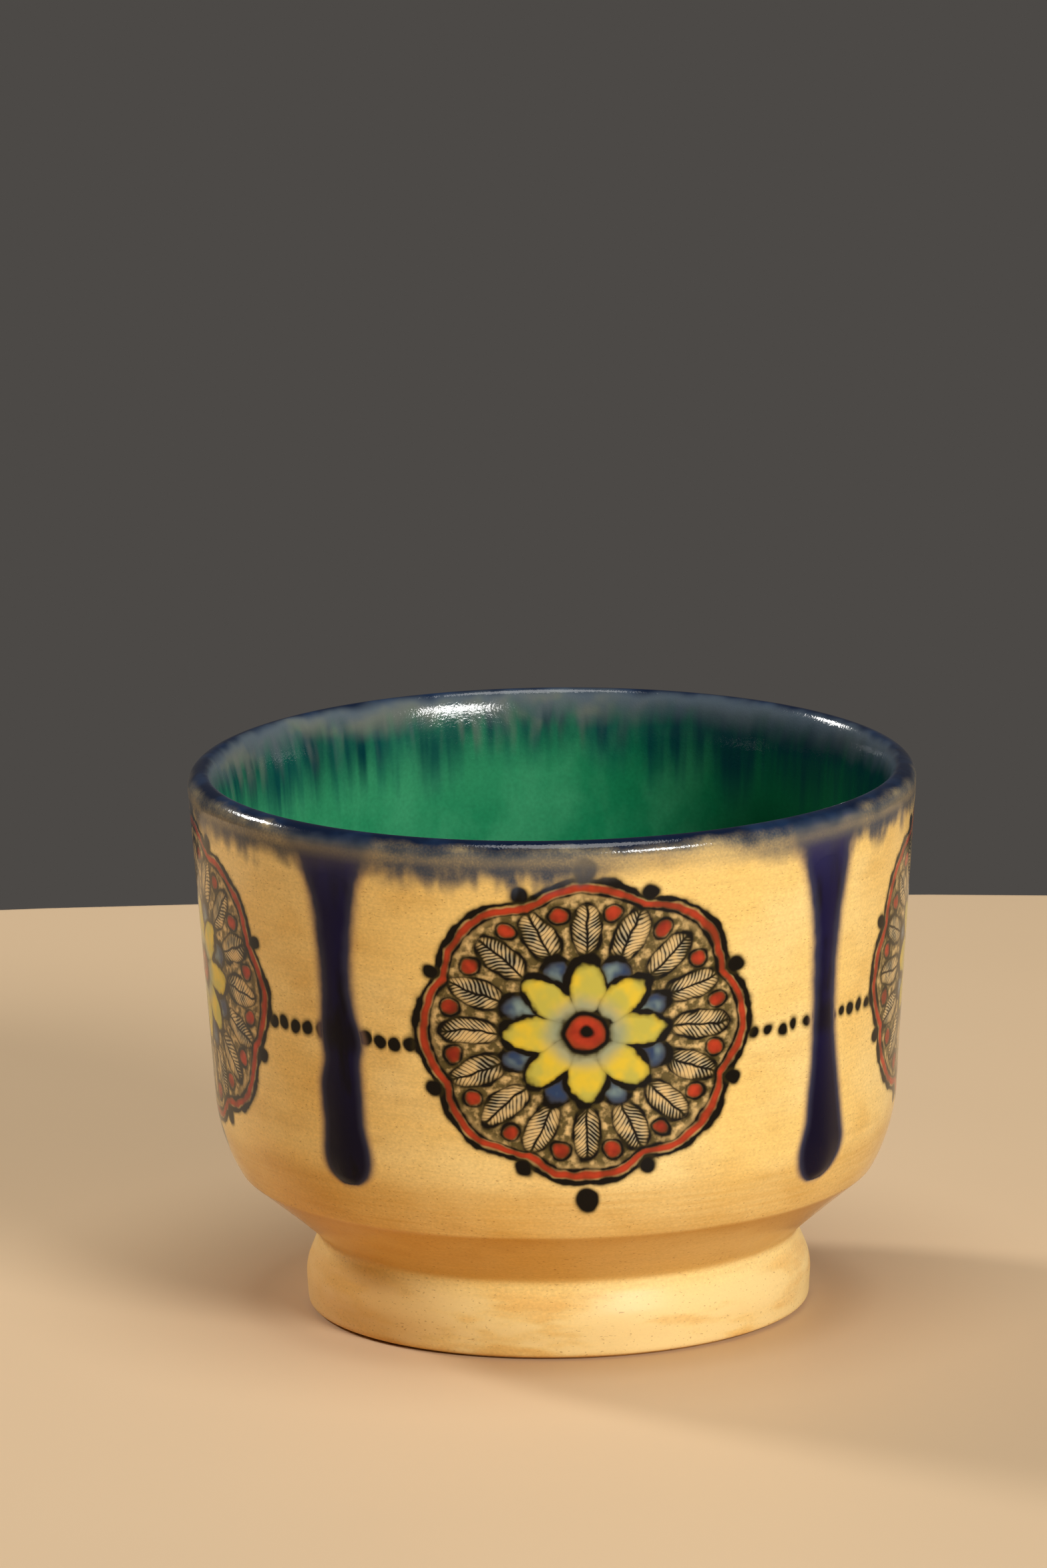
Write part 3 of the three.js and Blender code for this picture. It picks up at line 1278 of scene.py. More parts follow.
@dataclass(frozen=True)
class Garland(Motif):
    """Leaves with veins on a dark wash, and red berries between them."""

    count: int = 16
    wash: Clouds = Clouds(Grain(1.1, 1.1), 0.3, 0.6, 0.9)
    wash_half: float = 4.9
    wash_soft: float = 0.9
    leaf: Oval = Oval(2, 3.9, 15, 2.4)
    leaf_line: Line = Line(0.06, 0.3)
    shade_inset: float = 0.5
    shade_soft: float = 0.6
    shade_share: float = 0.6
    vein_slope: float = 0.9
    vein_pitch: float = 0.62
    vein: Line = Line(0.02, 0.2)
    vein_soft: float = 0.16
    midrib: float = 0.18
    midrib_soft: float = 0.14
    berry_out: float = 17.5
    berry_radius: float = 1.1
    berry_line: Line = Line(0.1, 0.2)
    berry_line_out: float = 0.2

    def paint(self, recipe: Recipe, under: Value, spot: Spot) -> Value:
        """Wash, leaves, their shade, veins and outline, then berries.

        Args:
            recipe: the finish being mixed.
            under: the colour below.
            spot: where each point lies.

        Returns:
            The colour.
        """
        tints, press = self.tints, spot.press
        x, y = spot.beside(self.count, 0.0), spot.radius - self.leaf.out
        ring = recipe.stroke(y, self.wash_half, self.wash_soft)
        colour = recipe.mix(ring * recipe.clouds(self.wash), under, tints.olive)
        edge = self.leaf.outside(x, spot.radius)
        in_leaf = recipe.inside(edge, self.soft)
        colour = recipe.mix(in_leaf, colour, tints.cream)
        shade = self.shade_share * recipe.inside(edge + self.shade_inset, self.shade_soft)
        colour = recipe.mix(shade * press, colour, tints.mist)
        slanted = recipe.math("PINGPONG", y - self.vein_slope * abs(x), self.vein_pitch)
        half = self.vein.light + self.vein.press * press
        veins = recipe.stroke(slanted - self.vein_pitch / 2, half, self.vein_soft)
        colour = recipe.mix(in_leaf * veins, colour, tints.black)
        midrib = recipe.stroke(x, self.midrib, self.midrib_soft)
        colour = recipe.mix(in_leaf * midrib, colour, tints.black)
        colour = self.draw(recipe, colour, edge, self.leaf_line, press)
        berry = spot.beside(self.count, 0.5).with_side(spot.radius - self.berry_out) - self.berry_radius
        red = recipe.mix(press, tints.red, tints.rust)
        colour = recipe.mix(recipe.inside(berry, self.soft), colour, red)
        return self.draw(recipe, colour, berry - self.berry_line_out, self.berry_line, press)


@dataclass(frozen=True)
class Rosette(Motif):
    """Blue petals behind yellow ones, about a red eye, in uneven washes."""

    count: int = 8
    wet: Clouds = Clouds(Grain(3.4, 3.4), 0.36, 0.64)
    back: Oval = Oval(2.5, 4.2, 7.4, 2.8)
    back_line: Line = Line(0.1, 0.4)
    mist_inset: float = 0.8
    mist_soft: float = 0.8
    front: Oval = Oval(2.7, 4.3, 6.6, 3)
    front_line: Line = Line(0.14, 0.5)
    wash_soft: float = 0.3
    lime_share: float = 0.75
    root: Ramp = (3.4, 6.4, 0.7)
    eye_radius: float = 2.6
    eye_rust: float = 0.7
    eye_line: Line = Line(0.3, 0)
    pupil_radius: float = 0.9
    pupil_soft: float = 0.3

    def paint(self, recipe: Recipe, under: Value, spot: Spot) -> Value:
        """Back petals, front petals and the eye, each with its outline.

        Args:
            recipe: the finish being mixed.
            under: the colour below.
            spot: where each point lies.

        Returns:
            The colour.
        """
        tints, press, radius = self.tints, spot.press, spot.radius
        wet = recipe.clouds(self.wet)
        back = self.back.outside(spot.beside(self.count, 0.5), radius)
        colour = recipe.mix(recipe.inside(back, self.soft), under, tints.blue)
        misty = recipe.inside(back + self.mist_inset, self.mist_soft)
        colour = recipe.mix(misty * wet, colour, tints.mist)
        colour = self.draw(recipe, colour, back, self.back_line, press)
        front = self.front.outside(spot.beside(self.count, 0.0), radius)
        colour = recipe.mix(recipe.inside(front, self.soft), colour, tints.yellow)
        washed = recipe.inside(front, self.wash_soft)
        colour = recipe.mix(washed * wet * self.lime_share, colour, tints.lime)
        colour = recipe.mix(washed * recipe.fade(radius, *self.root), colour, tints.mist)
        colour = self.draw(recipe, colour, front, self.front_line, press)
        eye = radius - self.eye_radius
        red = recipe.mix(press * self.eye_rust, tints.red, tints.rust)
        colour = recipe.mix(recipe.inside(eye, self.soft), colour, red)
        colour = self.draw(recipe, colour, eye, self.eye_line, press)
        return recipe.mix(recipe.inside(radius - self.pupil_radius, self.pupil_soft), colour, tints.black)


@dataclass(frozen=True)
class Medallion(Motif):
    """A round folk rosette and its garland in a scalloped frame with dots."""

    garland: Garland = Garland()
    rosette: Rosette = Rosette()
    half_width: float = 24.2
    half_height: float = 20.8
    lobes: int = 8
    lobe_depth: float = 0.075
    press: Clouds = Clouds(Grain(2.4, 2.4), 0.3, 0.7)
    ground_inset: float = 0.8
    ground_share: float = 0.9
    band_inset: float = 1.45
    band_half: float = 0.55
    band_soft: float = 0.24
    band_rust: float = 0.6
    inner_inset: float = 2.2
    inner_line: Line = Line(0.05, 0.3)
    outer_inset: float = 0.4
    outer_line: Line = Line(0.26, 0.36)
    dot_brush: Brush = Brush(soft=0.24, reach=0.25, bleed_soft=0.4, bleed_share=0.55)
    cusp_dot: float = 1.15
    cusp_out: float = 0.7
    low_dot: float = 1.65
    low_out: float = 2.2
    top_dot: float = 1.5
    top_out: float = 0.9

    def paint(self, recipe: Recipe, under: Value, side: Value, up: Value) -> Value:
        """The ground, garland and rosette, then the frame, in polar coordinates about the centre.

        Distances are shares of the frame's oval radius, times its mean.

        Args:
            recipe: the finish being mixed.
            under: the colour below.
            side: the distance to the right of the centre.
            up: the height above the centre.

        Returns:
            The colour.
        """
        mean = (self.half_width + self.half_height) / 2
        x, y = side / self.half_width, up / self.half_height
        radius = x.with_side(y)
        angle = recipe.math("ARCTAN2", y, x)
        lobed = 1 - self.lobe_depth + self.lobe_depth * abs((angle * (self.lobes / 2)).wave())
        edge = (radius / lobed - 1) * mean
        press = recipe.clouds(self.press)
        ground = self.ground_share * recipe.inside(edge + self.ground_inset, self.soft)
        colour = recipe.mix(ground, under, self.tints.cream)
        spot = Spot(radius * mean, angle, press)
        colour = self.garland.paint(recipe, colour, spot)
        colour = self.rosette.paint(recipe, colour, spot)
        band = recipe.stroke(edge + self.band_inset, self.band_half, self.band_soft)
        red = recipe.mix(press * self.band_rust, self.tints.red, self.tints.rust)
        colour = recipe.mix(band, colour, red)
        colour = self.draw(recipe, colour, edge + self.inner_inset, self.inner_line, press)
        colour = self.draw(recipe, colour, edge + self.outer_inset, self.outer_line, press)
        cusp = Spot(mean, angle, press).beside(self.lobes, 0.5)
        out = (radius - (1 - self.lobe_depth)) * mean - self.cusp_out
        colour = self.tints.mark(recipe, colour, cusp.with_side(out) - self.cusp_dot, self.dot_brush)
        below = side.with_side(up + (self.half_height + self.low_out)) - self.low_dot
        above = side.with_side(up - (self.half_height + self.top_out)) - self.top_dot
        return self.tints.mark(recipe, colour, below.least(above), self.dot_brush)


@dataclass(frozen=True)
class WallPainting:
    """The brushwork round the wall: four medallions joined by rows of beads, in a shaky hand."""

    medallion: Medallion = Medallion()
    beads: BeadRows = BeadRows()
    centre_height: float = 47.2
    quarter: float = 73.2
    shake: float = 1.8
    shake_grain: Grain = Grain(5, 5, 2, 0.55)

    def over(self, recipe: Recipe, clay: Value) -> Value:
        """Paints the beads, then the medallions, over the clay.

        Args:
            recipe: the finish being mixed.
            clay: the colour below.

        Returns:
            The colour.
        """
        turns = recipe.axis(recipe.node("ShaderNodeUVMap", uv_map="wrap"), "X")
        shake = recipe.grain(self.shake_grain, "Color")
        side = (turns - turns.whole()) * self.quarter + self.shake * (recipe.axis(shake, "X") - 0.5)
        up = recipe.height() - self.centre_height + self.shake * (recipe.axis(shake, "Y") - 0.5)
        aside = abs(side) - self.medallion.half_width
        colour = self.beads.paint(recipe, clay, aside, up, side, turns)
        return self.medallion.paint(recipe, colour, side, up)


@dataclass(frozen=True)
class GlazeGloss:
    """The gloss of fired glaze, with a ripple and pinholes that break its highlights."""

    shine: float
    roughness: float = 0.13
    unevenness: float = 0.1
    uneven_grain: Grain = Grain(6, 3)
    dull_foot: Ramp = (6, 16, 0.22)
    ripple: float = 0.012
    ripple_grain: Grain = Grain(3.5, 3.5)
    pinholes: float = 0.004
    pinhole_grain: Grain = Grain(0.3, 0.3, 1)

    def over(self, recipe: Recipe, colour: Value) -> Value:
        """The glaze's shader over a colour.

        Args:
            recipe: the finish being mixed.
            colour: the colour below.

        Returns:
            The shader.
        """
        waves = self.ripple * recipe.grain(self.ripple_grain)
        relief = waves + self.pinholes * recipe.grain(self.pinhole_grain)
        roughness = self.roughness + self.unevenness * recipe.sway(self.uneven_grain)
        roughness = roughness + recipe.fade(recipe.height(), *self.dull_foot)
        return recipe.gloss(colour, roughness, relief, self.shine)


@dataclass(frozen=True)
class Finishes:
    """Every finish of the cup."""

    clay: ClayTones = ClayTones()
    bare: BareClay = BareClay()
    rim_outside: RimOutside = RimOutside()
    rim_inside: RimInside = RimInside()
    lining: LiningTones = LiningTones()
    run: RunTones = RunTones()
    painting: WallPainting = WallPainting()
    wall_gloss: GlazeGloss = GlazeGloss(shine=0.14)
    run_gloss: GlazeGloss = GlazeGloss(shine=0.12)
    lining_gloss: GlazeGloss = GlazeGloss(shine=0.4)
    rim_gloss: GlazeGloss = GlazeGloss(
        shine=0.36, ripple=0.04, ripple_grain=Grain(1.6, 1.6), pinholes=0.02
    )
    lip_line: Span = (-0.2, 0.2)
    gloss_change: Span = (2.4, 4.4)

    def painted(self, recipe: Recipe) -> Value:
        """Painted clay under clear glaze, with the runs' bleed and the rim's lower edge."""
        colour = self.painting.over(recipe, self.clay.glazed(recipe))
        return self.rim_outside.over(recipe, self.run.stain(recipe, colour))

    def lined(self, recipe: Recipe) -> Value:
        """Green lining, with the rim's lower edge."""
        return self.rim_inside.over(recipe, self.lining.streaked(recipe))

    def outer_wall(self) -> bpy.types.Material:
        """The clear coat over the painting."""
        recipe = Recipe.named("painted_wall")
        return recipe.fire(self.wall_gloss.over(recipe, self.painted(recipe)))

    def rim_band(self) -> bpy.types.Material:
        """Cobalt over the lip: the wall shows through outside, where the gloss falls to the wall's,
        and the lining inside.

        Returns:
            The material.
        """
        recipe = Recipe.named("cobalt_rim")
        fall = recipe.read("fall")
        outside = recipe.smooth(fall, *self.lip_line)
        colour = recipe.mix(outside, self.lined(recipe), self.painted(recipe))
        down = recipe.smooth(fall, *self.gloss_change)
        lip = self.rim_gloss.over(recipe, colour)
        return recipe.fire(recipe.choose(down, lip, self.wall_gloss.over(recipe, colour)))

    def lining_coat(self) -> bpy.types.Material:
        """The green coat with streaks."""
        recipe = Recipe.named("green_lining")
        return recipe.fire(self.lining_gloss.over(recipe, self.lined(recipe)))

    def blue_run(self) -> bpy.types.Material:
        """Thick blue glaze that thins to its bleed at the edges.

        Returns:
            The material.
        """
        recipe = Recipe.named("blue_run")
        colour = self.rim_outside.over(recipe, self.run.stain(recipe, self.clay.glazed(recipe)))
        return recipe.fire(self.run_gloss.over(recipe, colour))

    def bare_clay(self) -> bpy.types.Material:
        """The clay that no glaze covers."""
        recipe = Recipe.named("bare_clay")
        return recipe.fire(self.bare.shader(recipe, self.clay))


@dataclass
class CupForm:
    """The form that every part of the cup follows, with its main sizes from the solids."""

    hand: ThrowersHand = ThrowersHand()
    coat: float = 0.4 * MM

    def __post_init__(self) -> None:
        """Takes the height and the rim from the solids, and works out the section."""
        low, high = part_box("rim_glaze")
        self.height = high.z
        self.section = CupSection(height=self.height, rim_radius=(high.x - low.x) / 2)
        self.points, self.fall = self.section.surface()

    def stretch(self, start: float, stop: float) -> tuple[Array, Array]:
        """A part of the section with exact ends.

        Args:
            start: the fall where it starts.
            stop: the fall where it stops.

        Returns:
            Its points and their falls.
        """
        inner = (self.fall > start + SAME_FALL) & (self.fall < stop - SAME_FALL)
        at = np.concatenate([[start], self.fall[inner], [stop]])
        return along(at, self.fall, self.points), at

    def fall_at(self, height: float, side: Side) -> float:
        """The fall where the section passes a height.

        Args:
            height: height above the base.
            side: inside or outside the cup.

        Returns:
            The fall.
        """
        if side is Side.INSIDE:
            upward = self.fall < 0
            return float(np.interp(height, self.points[upward, 1], self.fall[upward]))
        downward = self.fall > 0
        return float(np.interp(-height, -self.points[downward, 1], self.fall[downward]))


@dataclass
class GlazeRun:
    """One run of blue glaze: a domed tongue that hugs the wall.

    Its shape is rows of (drop below the rim, width, sideways shift), in metres.
    """

    node: str
    angle: float
    shape: Knots
    top: float = 4.6 * MM
    proud: float = 0.36 * MM
    sunk: float = 0.005 * MM
    seat: float = 0.06 * MM
    inset: float = 0.05 * MM
    least_half: float = 0.2 * MM
    ease: float = 0.7 * MM
    ease_step: float = 0.1 * MM
    ease_reach: int = 3
    root_swell: Span = (0, 0.22)
    thin_swell: float = 0.62
    bulb_swell: Span = (0.35, 0.85)
    tip_fade: Span = (0.9, 1)
    rows: int = 96
    row_crowd: float = 1.6
    columns: int = 28

    def __post_init__(self) -> None:
        """Eases the rows into a smooth outline that closes below the last of them."""
        self.tip = self.shape[-1][0]
        reach = self.ease_reach * self.ease
        drop = np.arange(self.shape[0][0], self.tip + reach, self.ease_step)
        rows = through((*self.shape, (self.tip + self.ease_step, 0, self.shape[-1][2])), drop)
        bell = np.exp(-0.5 * (np.arange(-reach, reach, self.ease_step) / self.ease) ** 2)
        before = len(bell) // 2
        padded = np.pad(rows, ((before, len(bell) - before - 1), (0, 0)), "edge")
        eased = [np.convolve(column, bell / bell.sum(), "valid") for column in padded.T]
        self.outline = np.column_stack([drop, *eased])

    def across(self, drop: Array) -> Array:
        """The run's (width, sideways shift) at each drop."""
        return along(drop, self.outline[:, 0], self.outline[:, 1:])

    def gap(self, angle: Array, radius: Array, drop: Array) -> Array:
        """How far points on the wall lie outside the run's edge: negative in the run.

        Args:
            angle: angle round the cup from the front, in radians.
            radius: the wall's radius at each point.
            drop: depth below the rim's top.

        Returns:
            The distance round the wall to the run's nearer edge, or past its tip, in metres.
        """
        outline = self.across(drop)
        turn = (angle - self.angle + math.pi) % TAU - math.pi
        aside = np.abs(turn * radius - outline[:, 1]) - outline[:, 0] / 2
        past_tip = np.maximum(drop - self.tip, 0)
        return np.where(past_tip > 0, np.hypot(np.maximum(aside, 0), past_tip), aside)

    def build(self, form: CupForm) -> Piece:
        """The run's grid: its dome is (1 - u²)² across, so it leaves the wall without an edge, and
        swells from nothing at the rim to its full height at the bulb.

        Args:
            form: the cup's form, whose wall the run follows.

        Returns:
            The new object.
        """
        outside = form.fall > 0
        wall_radius, wall_height = form.points[outside].T
        u = np.linspace(-1, 1, self.columns)
        share = np.linspace(0, 1, self.rows)
        drop = self.top + (self.tip - self.top) * (1 - (1 - share) ** self.row_crowd)
        outline = self.across(drop)
        half = np.maximum(outline[:, 0] / 2 - self.inset, self.least_half)
        down = form.height - drop
        wall = np.interp(-down, -wall_height, wall_radius)[:, None]
        swell = self.thin_swell + (1 - self.thin_swell) * smoothstep(share, *self.bulb_swell)
        swell *= smoothstep(share, *self.root_swell) * (1 - smoothstep(share, *self.tip_fade))
        angle = self.angle + (outline[:, 1:] + half[:, None] * u) / wall
        lift = (self.proud + self.sunk) * (1 - u * u) ** 2 * swell[:, None] - self.sunk
        radius, up = form.hand.leave(angle, wall, down[:, None])
        front = round_axis(angle, radius + lift, up).reshape(-1, 3)
        back = round_axis(angle, radius - self.seat, up).reshape(-1, 3)
        faces = self.faces()
        verts = np.concatenate([front, back])
        piece = new_piece(self.node + "_glaze", verts, faces, np.zeros((faces.size, 2)))
        gap = half[:, None] * np.abs(u) - outline[:, :1] / 2
        fall = np.interp(-down, -wall_height, form.fall[outside])
        keep_value(piece, "run", np.tile(gap.ravel() / MM, 2))
        keep_value(piece, "fall", np.tile(np.repeat(fall / MM, self.columns), 2))
        return piece

    def faces(self) -> Array:
        """The front grid, the back grid turned round, and the strip between their edges.

        Returns:
            One row of four vertex numbers for each quad.
        """
        number = np.arange(self.rows * self.columns).reshape(self.rows, self.columns)
        back = number + number.size
        front = np.stack([number[1:, :-1], number[1:, 1:], number[:-1, 1:], number[:-1, :-1]], -1)
        behind = np.stack([back[:-1, :-1], back[:-1, 1:], back[1:, 1:], back[1:, :-1]], -1)
        border = np.concatenate([
            number[0, :-1], number[:-1, -1], number[-1, :0:-1], number[:0:-1, 0],
        ])
        ahead = np.roll(border, -1)
        strip = np.stack([border, ahead, ahead + number.size, border + number.size], -1)
        return np.concatenate([front.reshape(-1, 4), behind.reshape(-1, 4), strip])


@dataclass
class GlazeRuns:
    """The four runs, two as seen from the front and two like them behind.

    Each has its node, its angle in degrees, and rows of drop, width and shift in millimetres.
    """

    form: CupForm
    finishes: Finishes
    shapes: tuple[tuple[str, float, Knots], ...] = (
        ("glaze_run_1", -42.2, (
            (2, 14, 0), (4, 11.4, 0), (7, 8.4, 0.1), (10, 7, 0.2), (14.4, 5.9, 0.1), (21, 5.2, 0),
            (24.5, 6, 0.1), (28.6, 7, 0.5), (30.4, 6.2, 0.4), (33.2, 7, 0), (40, 7.1, 0),
            (44.2, 8, 0.2), (46.3, 6.8, 0.2), (47.2, 5, 0.2), (47.7, 3.4, 0.2),
        )),
        ("glaze_run_2", 44, (
            (2, 14.5, -0.2), (4, 11, -0.4), (7, 8.8, -0.2), (11, 6.8, 0), (15, 5.5, 0), (21, 4.8, 0),
            (32, 5.3, 0.5), (37, 6.6, 0.9), (42, 8, 1.2), (45.2, 9.4, 1.1), (47.4, 8, 0.9),
            (49, 5.4, 0.7), (49.6, 3.4, 0.6),
        )),
        ("glaze_run_3", 133.5, (
            (2, 14, 0.3), (4, 10.6, 0.3), (9, 7, 0), (20, 5, -0.1), (32, 6.6, -0.4),
            (40, 8.4, -0.2), (42.8, 6, -0.2), (43.7, 3.4, -0.2),
        )),
        ("glaze_run_4", -133.5, (
            (2, 14.4, 0.2), (4, 11, 0.2), (9, 6.8, 0), (20, 5, 0.2), (34, 5.6, 0.1),
            (44.5, 8.8, -0.3), (47.4, 6, -0.2), (48.3, 3.4, -0.2),
        )),
    )

    def __post_init__(self) -> None:
        """Turns the shapes into radians and metres."""
        self.runs = [
            GlazeRun(node, math.radians(angle), tuple(tuple(MM * size for size in row) for row in shape))
            for node, angle, shape in self.shapes
        ]

    def gap(self, angle: Array, radius: Array, drop: Array) -> Array:
        """How far points on the wall lie outside the nearest run."""
        return np.min([run.gap(angle, radius, drop) for run in self.runs], axis=0)

    def build(self) -> list[Piece]:
        """Builds and dresses the runs."""
        finish = self.finishes.blue_run()
        return [settle(run.build(self.form), finish, run.node) for run in self.runs]


@dataclass(frozen=True)
class Net:
    """How fine a coat's grid is: rows, how they crowd at bends, and columns round the cup."""

    rows: int
    crowd: float
    columns: int


@dataclass
class GlazeCoats:
    """The coats of glaze: clear outside, cobalt over the lip and green inside.

    The knots give, by degrees from the front, how much glaze pools under the rim outside and how
    strongly it streaks the lining.
    """

    form: CupForm
    finishes: Finishes
    runs: GlazeRuns
    outer_net: Net = Net(150, 1.6 * MM, 480)
    rim_net: Net = Net(74, 0.6 * MM, 480)
    lining_net: Net = Net(110, 2 * MM, 360)
    back_thinning: int = 5
    back_least: int = 12
    run_reach: float = 6
    medallion_pull: float = math.radians(3)
    pool_knots: Knots = (
        (-180, 0.7), (-150, 0.9), (-120, 0.5), (-95, 0.8), (-70, 0.8), (-58, 0.9), (-48, 0.7), (-38, 0.5),
        (-31, 0.85), (-20, 0.9), (-9, 0.95), (-1, 0.8), (5, 0.3), (11, 0.1), (24, 0.1), (32, 0.5),
        (38, 0.55), (50, 0.8), (62, 1.0), (74, 0.8), (100, 0.5), (130, 0.9), (160, 0.5), (180, 0.7),
    )
    streak_knots: Knots = (
        (-180, 0.5), (-172, 0.55), (-165, 0.85), (-140, 0.95), (-120, 0.85), (-100, 0.6), (-60, 0.7),
        (-20, 0.5), (20, 0.6), (60, 0.7), (90, 0.9), (115, 1), (140, 1), (160, 0.95), (168, 0.65),
        (175, 0.45), (180, 0.5),
    )

    def build(self) -> list[Piece]:
        """Builds and dresses the coats, which meet where the solids' coats do.

        Returns:
            The outer coat, the rim's and the lining.
        """
        floor, foot = self.form.fall[0], self.form.fall[-1]
        inner = self.form.fall_at(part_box("lining_glaze")[1].z, Side.INSIDE)
        outer = self.form.fall_at(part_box("outer_glaze")[1].z, Side.OUTSIDE)
        wall = self.shell("outer_coat", outer, foot, self.outer_net)
        self.keep_wall_values(wall)
        settle(wall, self.finishes.outer_wall(), "outer_glaze")
        rim = self.shell("rim_coat", inner, outer, self.rim_net)
        self.keep_wall_values(rim)
        self.keep_streaks(rim)
        settle(rim, self.finishes.rim_band(), "rim_glaze")
        lining = self.shell("lining_coat", floor, inner, self.lining_net)
        merge_poles(lining)
        self.keep_streaks(lining)
        settle(lining, self.finishes.lining_coat(), "lining_glaze")
        return [wall, rim, lining]

    def shell(self, name: str, start: float, stop: float, net: Net) -> Piece:
        """A closed shell one coat thick over a stretch of the section, with a coarser back.

        Args:
            name: the piece's name.
            start: the fall where it starts.
            stop: the fall where it stops.
            net: how fine its grid is.

        Returns:
            The new object.
        """
        points, fall = self.form.stretch(start, stop)
        back_rows = max(net.rows // self.back_thinning, self.back_least)
        face, face_fall = Turning.rows(points, fall, net.rows, net.crowd)
        back, back_fall = Turning.rows(points, fall, back_rows, net.crowd)
        loop = np.concatenate([Turning.beneath(back, self.form.coat), face[::-1]])
        falls = np.concatenate([back_fall, face_fall[::-1]])
        return Turning(self.form.hand, net.columns).mesh(name, loop, falls)

    def keep_wall_values(self, piece: Piece) -> None:
        """Keeps on each vertex how far it is from a run and how much glaze pools there, and brings
        the side medallions a little forwards: a turn by an angle grows by its sine.

        Args:
            piece: a coat that the wall shows through.
        """
        at = vertices(piece)
        angle = from_front(at)
        gap = self.runs.gap(angle, np.hypot(at[:, 0], at[:, 1]), self.form.height - at[:, 2])
        keep_value(piece, "run", np.clip(gap / MM, -self.run_reach, self.run_reach))
        keep_value(piece, "pool", through(self.pool_knots, np.degrees(angle))[:, 0])
        layer = piece.data.uv_layers["wrap"].data
        flat = np.zeros(len(layer) * 2, np.float32)
        layer.foreach_get("uv", flat)
        turns = flat[0::2] * QUARTER_TURN
        flat[0::2] = (turns + self.medallion_pull * np.sin(turns)) / QUARTER_TURN
        layer.foreach_set("uv", flat)

    def keep_streaks(self, piece: Piece) -> None:
        """Keeps on each vertex how strongly the rim's glaze streaks the lining there."""
        angle = np.degrees(from_front(vertices(piece)))
        keep_value(piece, "gather", through(self.streak_knots, angle)[:, 0])


@dataclass
class ClayWork:
    """The thrown bowl and its turned foot, bare where no glaze covers them."""

    form: CupForm
    finishes: Finishes
    columns: int = 240
    bowl_rows: int = 110
    bowl_crowd: float = 1 * MM
    under_rows: int = 40
    ring_depth: float = 0.06 * MM
    ring_pitch: float = 2.3 * MM
    ring_start: float = 2 * MM
    base_edge: float = 0.6 * MM
    base_width: float = 5.2 * MM
    recess_draft: float = 0.8 * MM
    edge_points: int = 7
    side_step: int = 3

    def build(self) -> list[Piece]:
        """Builds and dresses the bowl and the foot, which meet at the neck.

        Returns:
            The bowl and the foot.
        """
        form, finish = self.form, self.finishes.bare_clay()
        to_neck = np.linalg.norm(form.points - form.section.neck(), axis=1)
        neck = int(np.argmin(np.where(form.fall > 0, to_neck, np.inf)))
        clay = Turning.beneath(form.points, form.coat)
        bowl = self.bowl(clay[: neck + 1], form.fall[: neck + 1])
        settle(bowl, finish, "clay_body")
        foot = self.foot(clay[neck:])
        settle(foot, finish, "foot_ring")
        return [bowl, foot]

    def bowl(self, side: Array, fall: Array) -> Piece:
        """The bowl's clay under the coats, with turned rings underneath: a sine of the radius.

        Args:
            side: the clay's section from the floor over the lip to the neck.
            fall: each point's way along the section.

        Returns:
            The new object.
        """
        rows, _ = Turning.rows(side, fall, self.bowl_rows, self.bowl_crowd)
        radius = np.linspace(side[-1, 0], 0, self.under_rows)[1:]
        rings = np.sin(TAU * radius / self.ring_pitch) * smoothstep(radius, 0, self.ring_start)
        under = np.stack([radius, side[-1, 1] + self.ring_depth * rings], -1)
        loop = np.concatenate([rows, under])[::-1]
        piece = Turning(self.form.hand, self.columns).mesh("bowl_clay", loop)
        merge_poles(piece)
        return piece

    def foot(self, side: Array) -> Piece:
        """The foot ring: its glazed side's clay, a bare base with rounded edges and the recess wall.

        Args:
            side: the clay's section from the neck to the base.

        Returns:
            The new object.
        """
        edge = self.base_edge
        inner = self.form.section.foot_radius - self.base_width
        corners = ((inner + edge, -math.pi), (side[-1, 0] - edge, -math.pi / 2))
        base = [
            CupSection.arc(np.array([centre, edge]), edge, start, start + math.pi / 2, self.edge_points)
            for centre, start in corners
        ]
        recess_top = np.array([[inner - self.recess_draft, side[0, 1]]])
        loop = np.concatenate([recess_top, *base, side[:: -self.side_step]])
        return Turning(self.form.hand, self.columns).mesh("foot_clay", loop)


@dataclass(frozen=True)
class Lamp:
    """A soft oval lamp that looks at the cup."""

    name: str
    azimuth: float
    elevation: float
    distance: float
    width: float
    height: float
    watts: float
    colour: Colour = (1, 1, 1)

    def hang(self, target: Vector) -> None:
        """Places the lamp by its azimuth from the front, towards +X, and its elevation.

        Args:
            target: the point that it looks at.
        """
        turn, rise = math.radians(self.azimuth), math.radians(self.elevation)
        way = Vector((math.sin(turn) * math.cos(rise), -math.cos(turn) * math.cos(rise), math.sin(rise)))
        light = bpy.data.lights.new(self.name, "AREA")
        light.shape = "ELLIPSE"
        light.size = self.width
        light.size_y = self.height
        light.energy = self.watts
        light.color = self.colour
        lamp = bpy.data.objects.new(self.name, light)
        lamp.location = target + self.distance * way
        lamp.rotation_euler = (-way).to_track_quat("-Z", "Y").to_euler()
        bpy.context.scene.collection.objects.link(lamp)


